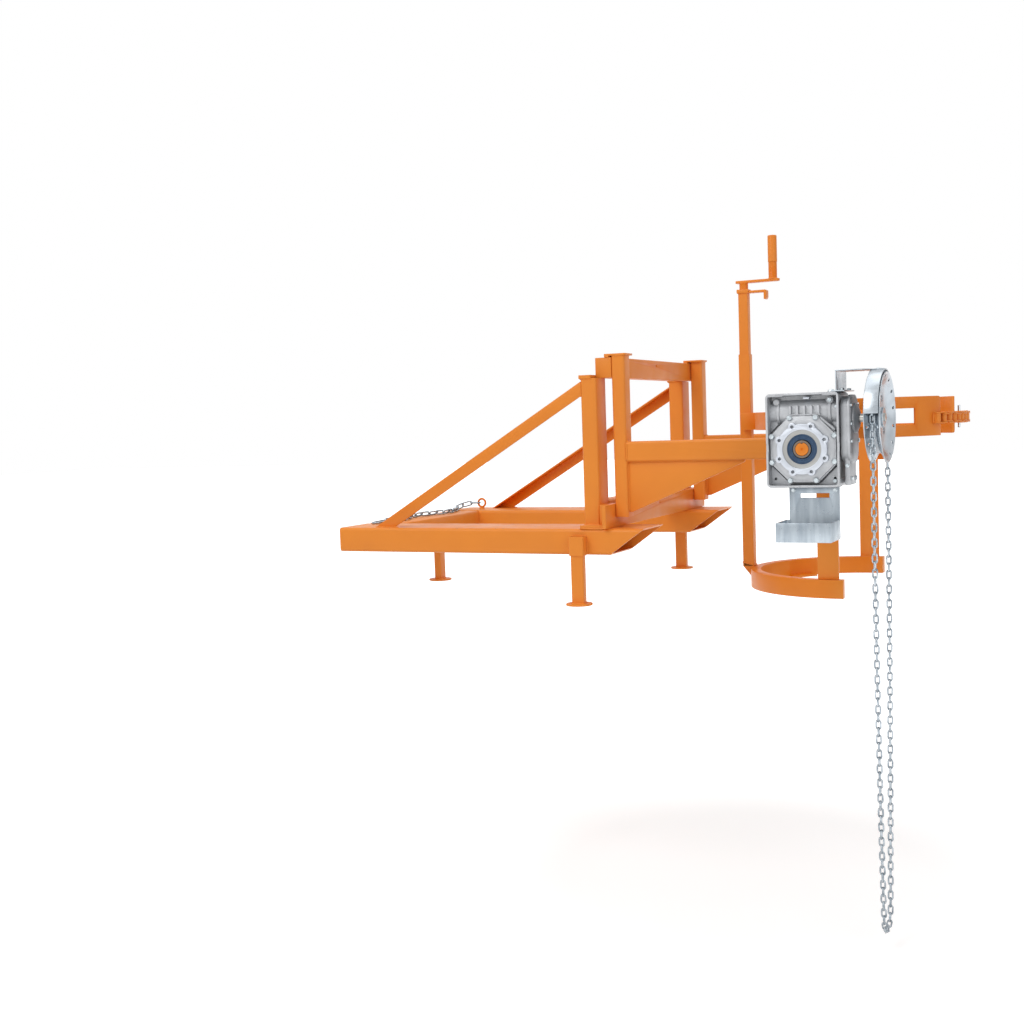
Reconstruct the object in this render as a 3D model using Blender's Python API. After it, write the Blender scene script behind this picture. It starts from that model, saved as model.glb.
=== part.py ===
"""Drum tipper for a fork truck: a fork-pocket frame, a geared tilting cradle and its hand chain.

Metres, X forward, Y to the left, Z up. The origin lies midway between the two pocket mouths,
level with the underside of the pockets.
"""

import math

import bmesh
import bpy
from mathutils import Matrix, Vector

GAP = 0.0003                 # left between pieces that touch
RUN = 0.0005                 # running clearance round a turning piece

# Fork pockets and the rear cross member
POCKET_LENGTH = 1.050
POCKET_WIDTH = 0.180
POCKET_HEIGHT = 0.078
POCKET_WALL = 0.005
POCKET_CORNER = 0.010
POCKET_OUTER_Y = 0.460
POCKET_NOSE = 0.108          # how far the underside of the nose is cut back
CROSS_DEPTH = 0.127
CROSS_WALL = 0.005
CROSS_INSET = 0.002          # from the mouths of the pockets

# Rear columns, braces and the lower bar
COLUMN_SETBACK = 0.195       # from the noses of the pockets
COLUMN_X = POCKET_LENGTH - COLUMN_SETBACK
COLUMN_DEPTH = 0.050
COLUMN_WIDTH = 0.080
COLUMN_INSET = 0.023         # from the outer face of the pocket
COLUMN_OUTER_Y = POCKET_OUTER_Y - COLUMN_INSET
COLUMN_TOP = 0.5225
COLUMN_WALL = 0.004
BASE_PLATE = 0.010
BASE_INSET = 0.001
CAP_PLATE = 0.010
BRACE_LEG = 0.037
BRACE_WALL = 0.005
BRACE_FOOT_X = 0.123
BRACE_DROP = 0.0089          # from the top of the column
BRACE_TOP_Z = COLUMN_TOP - BRACE_DROP
DISTANCE_DEPTH = 0.022       # of the blocks between the columns and the lower bar
BAR_THICK = 0.012
BAR_OVERHANG = 0.015         # past the outer face of the pocket
BAR_HALF = POCKET_OUTER_Y + BAR_OVERHANG
BAR_TOP = 0.148
BAR_VENT_DROP = 0.023
TIE_HEIGHT = 0.070
VENT_RADIUS = 0.004

# The drum, the tilting axis and the bands round the drum
BEAM_FRONT = COLUMN_X + COLUMN_DEPTH + DISTANCE_DEPTH + BAR_THICK
DRUM_RADIUS = 0.2925
DRUM_AHEAD = 0.636           # from the front of the cross beams to the drum's axis
DRUM_X = BEAM_FRONT + DRUM_AHEAD
PIVOT_SETBACK = 0.038        # from the drum's axis
PIVOT_X = DRUM_X - PIVOT_SETBACK
PIVOT_Z = 0.302
RIM_CLEAR = 0.003            # drum skin to the bands
BAND_THICK = 0.008
BAND_INNER = DRUM_RADIUS + RIM_CLEAR
BAND_OUTER = BAND_INNER + BAND_THICK
BAND_HEIGHT = 0.053
BAND_Z = PIVOT_Z + 0.076
PLATE_HEIGHT = 0.112
PLATE_BACK_DEG = -42.0
PLATE_FRONT_DEG = 60.4
WINDOW_HEIGHT = 0.047
WINDOW_FROM_DEG = 12.0
WINDOW_TO_DEG = 42.6
PLATE_CORNER = 0.009
STRAP_WIDTH = 0.060
STRAP_THICK = 0.008
STRAP_SHIFT = 0.012
RING_WIDTH = 0.030
RING_HEIGHT = 0.053
RING_WALL = 0.003
RING_BOTTOM = -0.130
RING_OUTER = BAND_INNER + RING_WIDTH
RING_END_DEG = 3.2
REST_THICK = 0.006
REST_REACH = 0.038
REST_AT = (-50, -130)
RING_DRAIN = 0.005
SHAFT_RADIUS = 0.0175
SHAFT_SHOULDER = 0.005
SHAFT_FLANGE_RADIUS = 0.040
SHAFT_FLANGE = 0.008

# Front frame: arms, gussets, the top beam and the uprights whose caps hook over it
ARM_HEIGHT = 0.060
ARM_WIDTH = 0.040
ARM_WALL = 0.004
ARM_TAIL = 0.055             # past the tilting axis
ARM_CLEAR = 0.0379           # from the flange of the cradle's shaft
ARM_BORE = SHAFT_RADIUS + SHAFT_SHOULDER + 0.001
BEAM_HALF = BAND_OUTER + STRAP_THICK + 2 * GAP + SHAFT_FLANGE + ARM_CLEAR + ARM_WIDTH
BEAM_DEPTH = 0.050
BEAM_HEIGHT = 0.060
BEAM_WALL = 0.004
UPRIGHT_DEPTH = 0.041
UPRIGHT_WIDTH = 0.050
UPRIGHT_WALL = 0.004
UPRIGHT_FOOT = 0.1087
HOOK_THICK = 0.006
HOOK_REACH = 0.021           # back over the top beam
HOOK_LIP = 0.004
HOOK_SIDE = 0.012
GUSSET_LENGTH = 0.353
GUSSET_THICK = 0.010
GUSSET_INSET = 0.012         # from the outer face of the arm
GUSSET_FOOT = 0.123
END_PLATE = 0.012
GEAR_PLATE_HALF = 0.090
GEAR_PLATE_BORE = 0.030
BEARING_PLATE_HALF = 0.066
BEARING_PLATE_BORE = 0.026
BEARING_HALF = 0.058
BEARING_FLANGE = 0.014
BEARING_DEPTH = 0.036
SHAFT_SUNK = 0.0016          # of the left shaft's end, into its bearing
LEFT_SHAFT_TIP = BEAM_HALF + 2 * GAP + END_PLATE + BEARING_DEPTH - SHAFT_SUNK

# Parking legs
LEG_WIDE = 0.040
LEG_NARROW = 0.025
LEG_WALL = 0.003
LEG_FOOT_Z = -0.148
FOOT_RADIUS = 0.040
FOOT_THICK = 0.006
FRONT_LEG_SETBACK = 0.0075   # from the rear of the column
FRONT_LEG_X = COLUMN_X - FRONT_LEG_SETBACK
REAR_LEG_INSET = 0.019       # from the front of the cross member
REAR_LEG_X = CROSS_INSET + CROSS_DEPTH - REAR_LEG_INSET
SOCKET_WALL = 0.003
SOCKET_TOP = 0.057

# Tether eye and chain
EYE_X = 0.100
EYE_INSET = 0.100            # from the outer face of the pocket
EYE_Y = POCKET_OUTER_Y - EYE_INSET
EYE_RADIUS = 0.015
EYE_WIRE = 0.004
EYE_LIFT = 0.004             # under the ring, on its stem
TETHER_PITCH = 0.035
TETHER_WIRE = 0.0055
TETHER_WIDTH = 0.021
TETHER_LINKS = 20
TETHER_HOOK = 0.056
TETHER_HOOK_WIRE = 0.006
TETHER_HOOK_WIDTH = 0.034
HOOK_SLACK = 0.0025
LINK_BITE = 0.0003           # that one link sinks into the next

# Worm gearbox on the right arm
GEAR_WIDTH = 0.196
CENTRE_INSET = 0.008         # of the worm's height, from half the width
CENTRE_DISTANCE = GEAR_WIDTH / 2 - CENTRE_INSET
GEAR_DROP = 0.103            # from the output shaft down to the feet
GEAR_CROWN = 0.060           # from the worm up to the top
GEAR_RISE = CENTRE_DISTANCE + GEAR_CROWN
GEAR_DEPTH = 0.140
GEAR_CORNER = 0.012
GEAR_RIM = 0.006
RIM_BACK = 0.006             # from the face of the output flange to the rim's front
RECESS_DEPTH = 0.044
COVER_MARGIN = 0.002         # from the cover to the inside of the rim
COVER_SET_BACK = 0.010
COVER_THICK = 0.012
FLANGE_OUTER = 0.069
FLANGE_INNER = 0.051
FLANGE_STEP = 0.004          # the sunk face inside the flange
LUG_CIRCLE = 0.065
LUG_RADIUS = 0.012
LUG_HOLE = 0.0045
SEAL_RADIUS = 0.040
SEAL_THICK = 0.008
HOLLOW_RADIUS = 0.024
WORM_RADIUS = 0.0165
WORM_JOURNAL = WORM_RADIUS - 0.004
WORM_INSET = 0.020           # from the closed end of the housing to the worm's end
WORM_HALF = 0.032            # half the threaded length
WORM_TAIL = 0.014            # into the first stage
WORM_MESH = 0.0008           # between the worm and its wheel
WORM_WHEEL_RADIUS = CENTRE_DISTANCE - WORM_RADIUS - WORM_MESH
WORM_WHEEL_WIDTH = 0.040
BARREL_RADIUS = 0.031
BARREL_RIBS = 6
BARREL_RIB_PITCH = 0.0145
BARREL_RIB_THICK = 0.004
PLUG_X = 0.065
PLUG_RADIUS = 0.010

# Helical first stage, hand wheel, guard, hand chain and tray
STAGE_X = 0.028
STAGE_CROWN = 0.047          # above the worm
STAGE_TOP = PIVOT_Z + CENTRE_DISTANCE + STAGE_CROWN
STAGE_BOTTOM = PIVOT_Z - 0.037
STAGE_HALF_WIDTH = 0.050
STAGE_CORNER = 0.034
STAGE_LIP = 0.004            # of the flange round the stage's middle
STAGE_LIP_X = 0.018
STAGE_LIP_THICK = 0.008
STAGE_FOOT_DROP = 0.062
STAGE_FOOT_HALF = 0.040
CAP_RADIUS = 0.040
CAP_HEIGHT = 0.014
INPUT_SUNK = 0.008           # of the input shaft's seat, into the first stage
WHEEL_OUT = 0.080            # from the outer face of the arm
WHEEL_Y = -BEAM_HALF - WHEEL_OUT
WHEEL_LOW = 0.012            # under the worm
WHEEL_Z = PIVOT_Z + CENTRE_DISTANCE - WHEEL_LOW
WHEEL_RADIUS = 0.120
WHEEL_HALF = 0.021
WHEEL_WEB = 0.0035
GROOVE_DEPTH = 0.0243
GROOVE_RADIUS = WHEEL_RADIUS - GROOVE_DEPTH
GROOVE_HALF = 0.0065
HUB_RADIUS = 0.026
HUB_BACK = 0.024
HUB_FRONT = 0.012
HUB_CLEAR = 0.0274           # from the hub to the input cap
WHEEL_PLANE = GEAR_WIDTH / 2 + STAGE_X + 2 * GAP + CAP_HEIGHT + HUB_CLEAR + HUB_BACK
INPUT_RADIUS = 0.011
WHEEL_HOLES = 14
WHEEL_HOLE = 0.0045
WEB_HOLES = 6
WEB_HOLE = 0.009
WEB_HOLE_CIRCLE = 0.052
CHAIN_PITCH = 0.020
CHAIN_WIRE = 0.005
CHAIN_WIDTH = 0.018
CHAIN_RADIUS = GROOVE_RADIUS + CHAIN_WIDTH / 2 - 0.0002
CHAIN_DROP = 1.394
CHAIN_TOE = 0.050            # half width of the bottom loop
GUARD_THICK = 0.003
GUARD_WIDTH = 0.035
GUARD_GAP = 0.005
GUARD_SHEET = 0.130
GUARD_END_DEG = 5.0          # above the wheel's middle, where the band stops
GUARD_LEG_INSET = 0.008      # from the first stage's side of the housing
GUARD_TOE = 0.024
GUARD_HEEL = 0.013           # of the foot, on the housing
TRAY_INSET = 0.035           # from the other side of the housing
TRAY_WIDTH = 0.147
TRAY_DEPTH = 0.119
TRAY_HEIGHT = 0.052
TRAY_SHEET = 0.003
TRAY_HANG = 0.143            # from the gearbox's feet to the tray's floor
TRAY_FLOOR_Z = PIVOT_Z - GEAR_DROP - TRAY_HANG
TRAY_SLOT_RISE = 0.060
TRAY_SLOT_HEIGHT = 0.012

# Mast, its screw and crank
MAST_SIDE = 0.035
MAST_STANDOFF = 0.020        # from the belly band
MAST_X = DRUM_X - BAND_OUTER - MAST_STANDOFF - MAST_SIDE / 2
MAST_WALL = 0.0022
MAST_TOP = 0.587
FOOT_DROP = 0.040            # of the foot block, down the ring's back
SADDLE_HALF = 0.045
SADDLE_BACK = 0.004          # behind the mast's axis
INNER_SIDE = MAST_SIDE - 2 * (MAST_WALL + GAP)
INNER_WALL = 0.0025
INNER_TOP = 0.776
INNER_BOTTOM = 0.300
COLLAR_SIDE = MAST_SIDE + 0.002
COLLAR_THICK = 0.012
SCREW_RADIUS = 0.009
SCREW_COLLAR = 0.0135
SCREW_BOTTOM = 0.140
NUT_BOTTOM = 0.252
NUT_HEIGHT = 0.022
CRANK_RISE = 0.0195          # from the collar to the crank arm
CRANK_Z = INNER_TOP + COLLAR_THICK + CRANK_RISE
CRANK_RADIUS = 0.0925
CRANK_WIDTH = 0.026
CRANK_TAIL = 0.024           # of the arm, behind the screw
CRANK_TIP = 0.008            # of the arm, past the grip before its round end
CRANK_THICK = 0.008
BOSS_HEIGHT = 0.050
GRIP_RADIUS = 0.014
GRIP_LENGTH = 0.082
PIN_RADIUS = 0.0065
HOOK_BAR_WIDTH = 0.030
HOOK_BAR_THICK = 0.007
HOOK_BAR_OVER = 0.0255       # past the drum's rim
HOOK_BAR_TIP = DRUM_X - DRUM_RADIUS + HOOK_BAR_OVER
HOOK_CLAW_DROP = 0.022

# Clamp chain round the front of the drum
LINK_PITCH = 0.0254
LINK_HALF = 0.0098
LINK_RADIUS = BAND_OUTER + RUN + LINK_HALF
ROLLER_RADIUS = 0.0079
ROLLER_HALF = 0.0085
PLATE_THICK = 0.0035
LINK_PIN = 0.0042
ROOT_DEG = 55.8
ROOT_SHOE = 0.008            # of the welded foot, behind the first pin
LUG_DEG = 120.84             # where the hook bolt's lug stands on the left plate
HOOK_BOLT_LEAST = 0.105      # from the last pin to the lug
CHAIN_Z = BAND_Z - 0.006
LUG_THICK = 0.016
LUG_HALF_HEIGHT = 0.016
T_STANDOFF = 0.012           # from the lug to the middle of the T-handle
TENSION_ROD = 0.006
ROD_FROM = 0.030
T_BAR_HALF = 0.035
T_BAR_RADIUS = 0.004
T_HUB_RADIUS = 0.011

ORANGE = ("orange_paint", (0.78, 0.23, 0.02), 0.42, 0.0)
ZINC = ("zinc_plate", (0.60, 0.65, 0.70), 0.35, 1.0)
CAST = ("cast_aluminium", (0.46, 0.46, 0.45), 0.55, 1.0)
STEEL = ("machined_steel", (0.45, 0.44, 0.42), 0.35, 1.0)
RUBBER = ("blue_rubber", (0.03, 0.08, 0.14), 0.60, 0.0)
BRONZE = ("worm_bronze", (0.50, 0.33, 0.12), 0.40, 1.0)


def clear_scene():
    for item in list(bpy.data.objects):
        bpy.data.objects.remove(item)


def material(finish):
    name, colour, roughness, metallic = finish
    made = bpy.data.materials.get(name)
    if made is None:
        made = bpy.data.materials.new(name)
        made.use_nodes = True
        shader = made.node_tree.nodes["Principled BSDF"]
        shader.inputs["Base Color"].default_value = (*colour, 1.0)
        shader.inputs["Roughness"].default_value = roughness
        shader.inputs["Metallic"].default_value = metallic
    return made


def add_piece(name, shape, finish=ORANGE, place=None):
    """Turns a bmesh into a named object, moved by a matrix."""
    bmesh.ops.recalc_face_normals(shape, faces=shape.faces)
    mesh = bpy.data.meshes.new(name)
    shape.to_mesh(mesh)
    shape.free()
    mesh.set_sharp_from_angle(angle=math.radians(35))
    piece = bpy.data.objects.new(name, mesh)
    bpy.context.scene.collection.objects.link(piece)
    mesh.materials.append(material(finish))
    if place is not None:
        mesh.transform(place)
    return piece


def combine(piece, tools, operation):
    """Cuts the tools from a piece, or joins them to it, and removes the tools."""
    for tool in tools if isinstance(tools, list) else [tools]:
        change = piece.modifiers.new("change", "BOOLEAN")
        change.operation = operation
        change.object = tool
        change.solver = "EXACT"
        bpy.context.view_layer.update()
        graph = bpy.context.evaluated_depsgraph_get()
        mesh = bpy.data.meshes.new_from_object(piece.evaluated_get(graph))
        piece.modifiers.clear()
        piece.data = mesh
        mesh.name = piece.name
        bpy.data.objects.remove(tool)
    return piece


def cut(piece, tools):
    return combine(piece, tools, "DIFFERENCE")


def join(piece, tools):
    return combine(piece, tools, "UNION")


def block(name, low, high, finish=ORANGE):
    """A box from its lowest to its highest corner."""
    shape = bmesh.new()
    bmesh.ops.create_cube(shape, size=1.0)
    size = [h - l for l, h in zip(low, high)]
    middle = [(h + l) / 2 for l, h in zip(low, high)]
    bmesh.ops.scale(shape, vec=size, verts=shape.verts)
    bmesh.ops.translate(shape, vec=middle, verts=shape.verts)
    return add_piece(name, shape, finish)


def prism(name, outline, depth, place, finish=ORANGE):
    """An outline in X and Y, raised along Z by depth and then placed by a matrix."""
    shape = bmesh.new()
    face = shape.faces.new([shape.verts.new((x, y, 0.0)) for x, y in outline])
    grown = bmesh.ops.extrude_face_region(shape, geom=[face])
    top = [item for item in grown["geom"] if isinstance(item, bmesh.types.BMVert)]
    bmesh.ops.translate(shape, vec=(0.0, 0.0, depth), verts=top)
    return add_piece(name, shape, finish, place)


def turned(name, profile, place, finish=ORANGE, steps=32):
    """A closed profile of radius and height, turned about Z and then placed."""
    shape = bmesh.new()
    corners = [shape.verts.new((radius, 0.0, height)) for radius, height in profile]
    pairs = zip(corners, corners[1:] + corners[:1])
    rim = [shape.edges.new((a, b)) for a, b in pairs if a.co.x > 0 or b.co.x > 0]
    bmesh.ops.spin(
        shape, geom=corners + rim, axis=(0, 0, 1), cent=(0, 0, 0),
        angle=math.tau, steps=steps, use_merge=True,
    )
    bmesh.ops.remove_doubles(shape, verts=shape.verts, dist=1e-6)
    return add_piece(name, shape, finish, place)


def disc(radius, low, high):
    """The profile of a solid cylinder."""
    return [(0.0, low), (radius, low), (radius, high), (0.0, high)]


def sleeve(inner, outer, low, high):
    """The profile of a tube."""
    return [(inner, low), (outer, low), (outer, high), (inner, high)]


def along_x(x, y, z):
    """Z of a profile becomes +X."""
    return Matrix.Translation((x, y, z)) @ Matrix.Rotation(math.pi / 2, 4, "Y")


def along_y(x, y, z):
    """Z of a profile becomes +Y, its X stays X and its Y becomes -Z."""
    return Matrix.Translation((x, y, z)) @ Matrix.Rotation(-math.pi / 2, 4, "X")


def side_on(y):
    """X and Y of an outline become X and Z, and its depth runs towards -Y."""
    return Matrix.Translation((0.0, y, 0.0)) @ Matrix.Rotation(math.pi / 2, 4, "X")


def upright(x, y, z):
    return Matrix.Translation((x, y, z))


def rounded(half_x, half_y, radius, steps=2):
    """A rectangle about the origin with round corners."""
    points = []
    for quarter, (sx, sy) in enumerate([(1, 1), (-1, 1), (-1, -1), (1, -1)]):
        for step in range(steps + 1):
            angle = math.pi / 2 * (quarter + step / steps)
            points.append((
                sx * (half_x - radius) + radius * math.cos(angle),
                sy * (half_y - radius) + radius * math.sin(angle),
            ))
    return points


def hollow_bar(name, size, wall, length, place, finish=ORANGE, corner=None):
    """A rectangular tube, open at both ends, that runs along Z before it is placed."""
    outer_corner = corner or 1.8 * wall
    inner_corner = outer_corner - wall * 0.9
    loops = [
        rounded(size[0] / 2, size[1] / 2, outer_corner),
        rounded(size[0] / 2 - wall, size[1] / 2 - wall, inner_corner),
    ]
    shape = bmesh.new()
    edges = []
    for loop in loops:
        corners = [shape.verts.new((x, y, 0.0)) for x, y in loop]
        edges += [shape.edges.new((a, b)) for a, b in zip(corners, corners[1:] + corners[:1])]
    end = bmesh.ops.bridge_loops(shape, edges=edges)
    grown = bmesh.ops.extrude_face_region(shape, geom=end["faces"])
    top = [item for item in grown["geom"] if isinstance(item, bmesh.types.BMVert)]
    bmesh.ops.translate(shape, vec=(0.0, 0.0, length), verts=top)
    return add_piece(name, shape, finish, place)


def on_drum(radius, degrees, z):
    """A point round the drum: 0 degrees faces right, 90 faces forward."""
    angle = math.radians(degrees)
    return Vector((DRUM_X + radius * math.sin(angle), -radius * math.cos(angle), z))


def bent_bar(name, inner, outer, low, high, start, end, steps=24, finish=ORANGE):
    """A rectangular bar bent round the drum's axis."""
    shape = bmesh.new()
    corners = [
        shape.verts.new(on_drum(radius, start, z))
        for radius, z in ((inner, low), (outer, low), (outer, high), (inner, high))
    ]
    face = shape.faces.new(corners)
    bmesh.ops.spin(
        shape, geom=[face], axis=(0, 0, 1), cent=(DRUM_X, 0, 0),
        angle=math.radians(end - start), steps=steps,
    )
    return add_piece(name, shape, finish)


def drill(x, y, z, radius, length, turn=upright, steps=12):
    """A cutter or a pin, centred on a point."""
    return turned("drill", disc(radius, -length / 2, length / 2), turn(x, y, z), steps=steps)


def mirrored(side, low, high):
    """Y limits on one side: -1 is right and 1 is left."""
    return (-high, -low) if side < 0 else (low, high)


SIDES = (("right", -1), ("left", 1))


def pocket(word, side):
    """A fork pocket with its nose cut back underneath."""
    middle = side * (POCKET_OUTER_Y - POCKET_WIDTH / 2)
    place = along_x(0.0, middle, POCKET_HEIGHT / 2)
    tube = hollow_bar(
        f"fork_pocket_{word}", (POCKET_HEIGHT, POCKET_WIDTH), POCKET_WALL, POCKET_LENGTH,
        place, corner=POCKET_CORNER,
    )
    over = 0.02
    slope = POCKET_NOSE / POCKET_HEIGHT
    nose = prism("nose", [
        (POCKET_LENGTH - POCKET_NOSE - over * slope, -over),
        (POCKET_LENGTH + over, -over),
        (POCKET_LENGTH + over, POCKET_HEIGHT),
        (POCKET_LENGTH, POCKET_HEIGHT),
    ], 2 * POCKET_WIDTH, side_on(middle + POCKET_WIDTH))
    return cut(tube, nose)


def rear_cross_member():
    """A box of plates between the pockets, open at its two ends."""
    inner = POCKET_OUTER_Y - POCKET_WIDTH - GAP
    place = along_y(CROSS_INSET + CROSS_DEPTH / 2, -inner, POCKET_HEIGHT / 2)
    return hollow_bar(
        "rear_cross_member", (CROSS_DEPTH, POCKET_HEIGHT), CROSS_WALL, 2 * inner, place,
    )


def column(word, side):
    """A column with its base plate and the short cap behind the top beam."""
    low, high = mirrored(side, COLUMN_OUTER_Y - COLUMN_WIDTH, COLUMN_OUTER_Y)
    base_low = POCKET_HEIGHT + GAP
    base_high = base_low + BASE_PLATE
    foot_low, foot_high = mirrored(side, COLUMN_OUTER_Y - COLUMN_WIDTH, POCKET_OUTER_Y - BASE_INSET)
    tube = hollow_bar(
        f"column_{word}", (COLUMN_DEPTH, COLUMN_WIDTH), COLUMN_WALL,
        COLUMN_TOP - base_high + 0.001,
        upright(COLUMN_X + COLUMN_DEPTH / 2, (low + high) / 2, base_high - 0.001),
    )
    base = block("base", (COLUMN_X - 0.005, foot_low, base_low),
                 (BEAM_FRONT - BAR_THICK - GAP, foot_high, base_high))
    cap = block("cap", (COLUMN_X - 0.004, low - 0.003, COLUMN_TOP - 0.001),
                (BEAM_FRONT - BEAM_DEPTH - GAP, high + 0.003, COLUMN_TOP + CAP_PLATE))
    return join(tube, [base, cap])


def brace(word, side):
    """An angle bar from the rear of the pocket up to the column."""
    foot = POCKET_HEIGHT + GAP
    head = COLUMN_X - GAP
    run = head - BRACE_FOOT_X
    slope = (BRACE_TOP_Z - foot) / run
    tall = BRACE_LEG * math.hypot(1.0, slope)
    thin = BRACE_WALL * math.hypot(1.0, slope)
    y = COLUMN_OUTER_Y if side > 0 else -COLUMN_OUTER_Y + BRACE_WALL
    web = prism(f"brace_{word}", [
        (BRACE_FOOT_X, foot),
        (BRACE_FOOT_X + tall / slope, foot),
        (head, BRACE_TOP_Z - tall),
        (head, BRACE_TOP_Z),
    ], BRACE_WALL, side_on(y))
    y = COLUMN_OUTER_Y if side > 0 else -COLUMN_OUTER_Y + BRACE_LEG
    flange = prism("flange", [
        (BRACE_FOOT_X, foot),
        (BRACE_FOOT_X + thin / slope, foot),
        (head, BRACE_TOP_Z - thin),
        (head, BRACE_TOP_Z),
    ], BRACE_LEG, side_on(y))
    return join(web, flange)


def top_beam():
    """The beam on the columns, closed at both ends, with a vent in its front."""
    bottom = COLUMN_TOP + GAP
    low = (BEAM_FRONT - BEAM_DEPTH, -BEAM_HALF, bottom)
    high = (BEAM_FRONT, BEAM_HALF, bottom + BEAM_HEIGHT)
    wall = BEAM_WALL
    beam = block("top_beam", low, high)
    inside = block("inside", [v + wall for v in low], [v - wall for v in high])
    cut(beam, inside)
    vent_z = bottom + 0.72 * BEAM_HEIGHT
    return cut(beam, drill(BEAM_FRONT, 0.0, vent_z, VENT_RADIUS, 3 * BEAM_WALL, along_x))


def lower_bar():
    """The bar that the uprights lean on, with its two distance blocks."""
    foot = POCKET_HEIGHT + GAP
    bar = block("lower_bar", (BEAM_FRONT - BAR_THICK, -BAR_HALF, foot), (BEAM_FRONT, BAR_HALF, BAR_TOP))
    for _, side in SIDES:
        low, high = mirrored(side, COLUMN_OUTER_Y - COLUMN_WIDTH, COLUMN_OUTER_Y)
        join(bar, block(
            "distance",
            (COLUMN_X + COLUMN_DEPTH + GAP, low, foot + BASE_PLATE + GAP),
            (BEAM_FRONT - BAR_THICK + 0.002, high, BAR_TOP),
        ))
    return cut(bar, drill(BEAM_FRONT, 0.0, BAR_TOP - BAR_VENT_DROP, VENT_RADIUS, 3 * BAR_THICK, along_x))


def tie_beam():
    """The box beam between the feet of the columns, behind the lower bar."""
    half = COLUMN_OUTER_Y - COLUMN_WIDTH - GAP
    place = along_y(COLUMN_X + COLUMN_DEPTH / 2, -half, POCKET_HEIGHT + GAP + BASE_PLATE + TIE_HEIGHT / 2)
    return hollow_bar("tie_beam", (COLUMN_DEPTH, TIE_HEIGHT), COLUMN_WALL, 2 * half, place)


def front_upright(word, side):
    """An upright whose cap hooks back over the top beam."""
    rear = BEAM_FRONT + GAP
    beam_top = COLUMN_TOP + GAP + BEAM_HEIGHT
    top = beam_top + GAP + HOOK_LIP
    low, high = mirrored(side, BEAM_HALF - UPRIGHT_WIDTH, BEAM_HALF)
    tube = hollow_bar(
        f"upright_{word}", (UPRIGHT_DEPTH, UPRIGHT_WIDTH), UPRIGHT_WALL,
        top - UPRIGHT_FOOT + 0.001,
        upright(rear + UPRIGHT_DEPTH / 2, (low + high) / 2, UPRIGHT_FOOT),
    )
    cap_low, cap_high = mirrored(side, BEAM_HALF - UPRIGHT_WIDTH - HOOK_SIDE, BEAM_HALF + 0.002)
    cap = block("cap", (rear - HOOK_REACH, cap_low, top),
                (rear + UPRIGHT_DEPTH + 0.004, cap_high, top + HOOK_THICK))
    lip = block("lip", (rear - HOOK_REACH, cap_low, top - HOOK_LIP),
                (rear - HOOK_REACH / 3, cap_high, top + 0.001))
    return join(tube, [join(cap, lip)])


def arm(word, side):
    """An arm from the upright past the tilting axis, holed for the shaft."""
    start = BEAM_FRONT + 2 * GAP + UPRIGHT_DEPTH
    length = PIVOT_X + ARM_TAIL - start
    middle = side * (BEAM_HALF - ARM_WIDTH / 2)
    tube = hollow_bar(
        f"arm_{word}", (ARM_HEIGHT, ARM_WIDTH), ARM_WALL, length, along_x(start, middle, PIVOT_Z),
    )
    return cut(tube, drill(PIVOT_X, middle, PIVOT_Z, ARM_BORE, 2 * ARM_WIDTH, along_y, 24))


def gusset(word, side):
    """The three-cornered plate under an arm."""
    start = BEAM_FRONT + 2 * GAP + UPRIGHT_DEPTH
    top = PIVOT_Z - ARM_HEIGHT / 2 - GAP
    y = side * (BEAM_HALF - GUSSET_INSET) + (GUSSET_THICK if side < 0 else 0.0)
    return prism(f"gusset_{word}", [
        (start, GUSSET_FOOT),
        (start + 0.012, GUSSET_FOOT),
        (start + GUSSET_LENGTH, top - 0.006),
        (start + GUSSET_LENGTH, top),
        (start, top),
    ], GUSSET_THICK, side_on(y))


def end_plate(name, side, half, bore):
    """The plate on the outer face of an arm that carries the gearbox or the bearing."""
    low, high = mirrored(side, BEAM_HALF + GAP, BEAM_HALF + GAP + END_PLATE)
    plate = block(name, (PIVOT_X - half, low, PIVOT_Z - half), (PIVOT_X + half, high, PIVOT_Z + half))
    corner_cut = 0.25 * half
    for sx in (-1, 1):
        for sz in (-1, 1):
            corner = Matrix.Translation((PIVOT_X + sx * half, (low + high) / 2, PIVOT_Z + sz * half))
            turn = corner @ Matrix.Rotation(math.pi / 4, 4, "Y")
            wedge = block("wedge", (-corner_cut,) * 3, (corner_cut,) * 3)
            wedge.data.transform(turn)
            cut(plate, wedge)
    return cut(plate, drill(PIVOT_X, (low + high) / 2, PIVOT_Z, bore, 3 * END_PLATE, along_y, 24))


def foot_disc(x, y):
    profile = disc(FOOT_RADIUS, LEG_FOOT_Z, LEG_FOOT_Z + FOOT_THICK)
    return turned("foot", profile, upright(x, y, 0.0), steps=24)


def front_leg(word, side):
    """A leg and the socket it slides into on the pocket's outer face."""
    y = side * (POCKET_OUTER_Y + GAP + SOCKET_WALL + GAP + LEG_NARROW / 2)
    leg = hollow_bar(
        f"front_leg_{word}", (LEG_WIDE, LEG_NARROW), LEG_WALL,
        SOCKET_TOP - 0.006 - LEG_FOOT_Z - FOOT_THICK / 2,
        upright(FRONT_LEG_X, y, LEG_FOOT_Z + FOOT_THICK / 2),
    )
    join(leg, foot_disc(FRONT_LEG_X, y))
    room = SOCKET_WALL + GAP
    hollow_bar(
        f"leg_socket_{word}", (LEG_WIDE + 2 * room, LEG_NARROW + 2 * room), SOCKET_WALL,
        SOCKET_TOP, upright(FRONT_LEG_X, y, 0.0),
    )


def rear_leg():
    leg = hollow_bar(
        "rear_leg", (LEG_NARROW, LEG_WIDE), LEG_WALL,
        -GAP - LEG_FOOT_Z - FOOT_THICK / 2,
        upright(REAR_LEG_X, 0.0, LEG_FOOT_Z + FOOT_THICK / 2),
    )
    return join(leg, foot_disc(REAR_LEG_X, 0.0))


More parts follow.
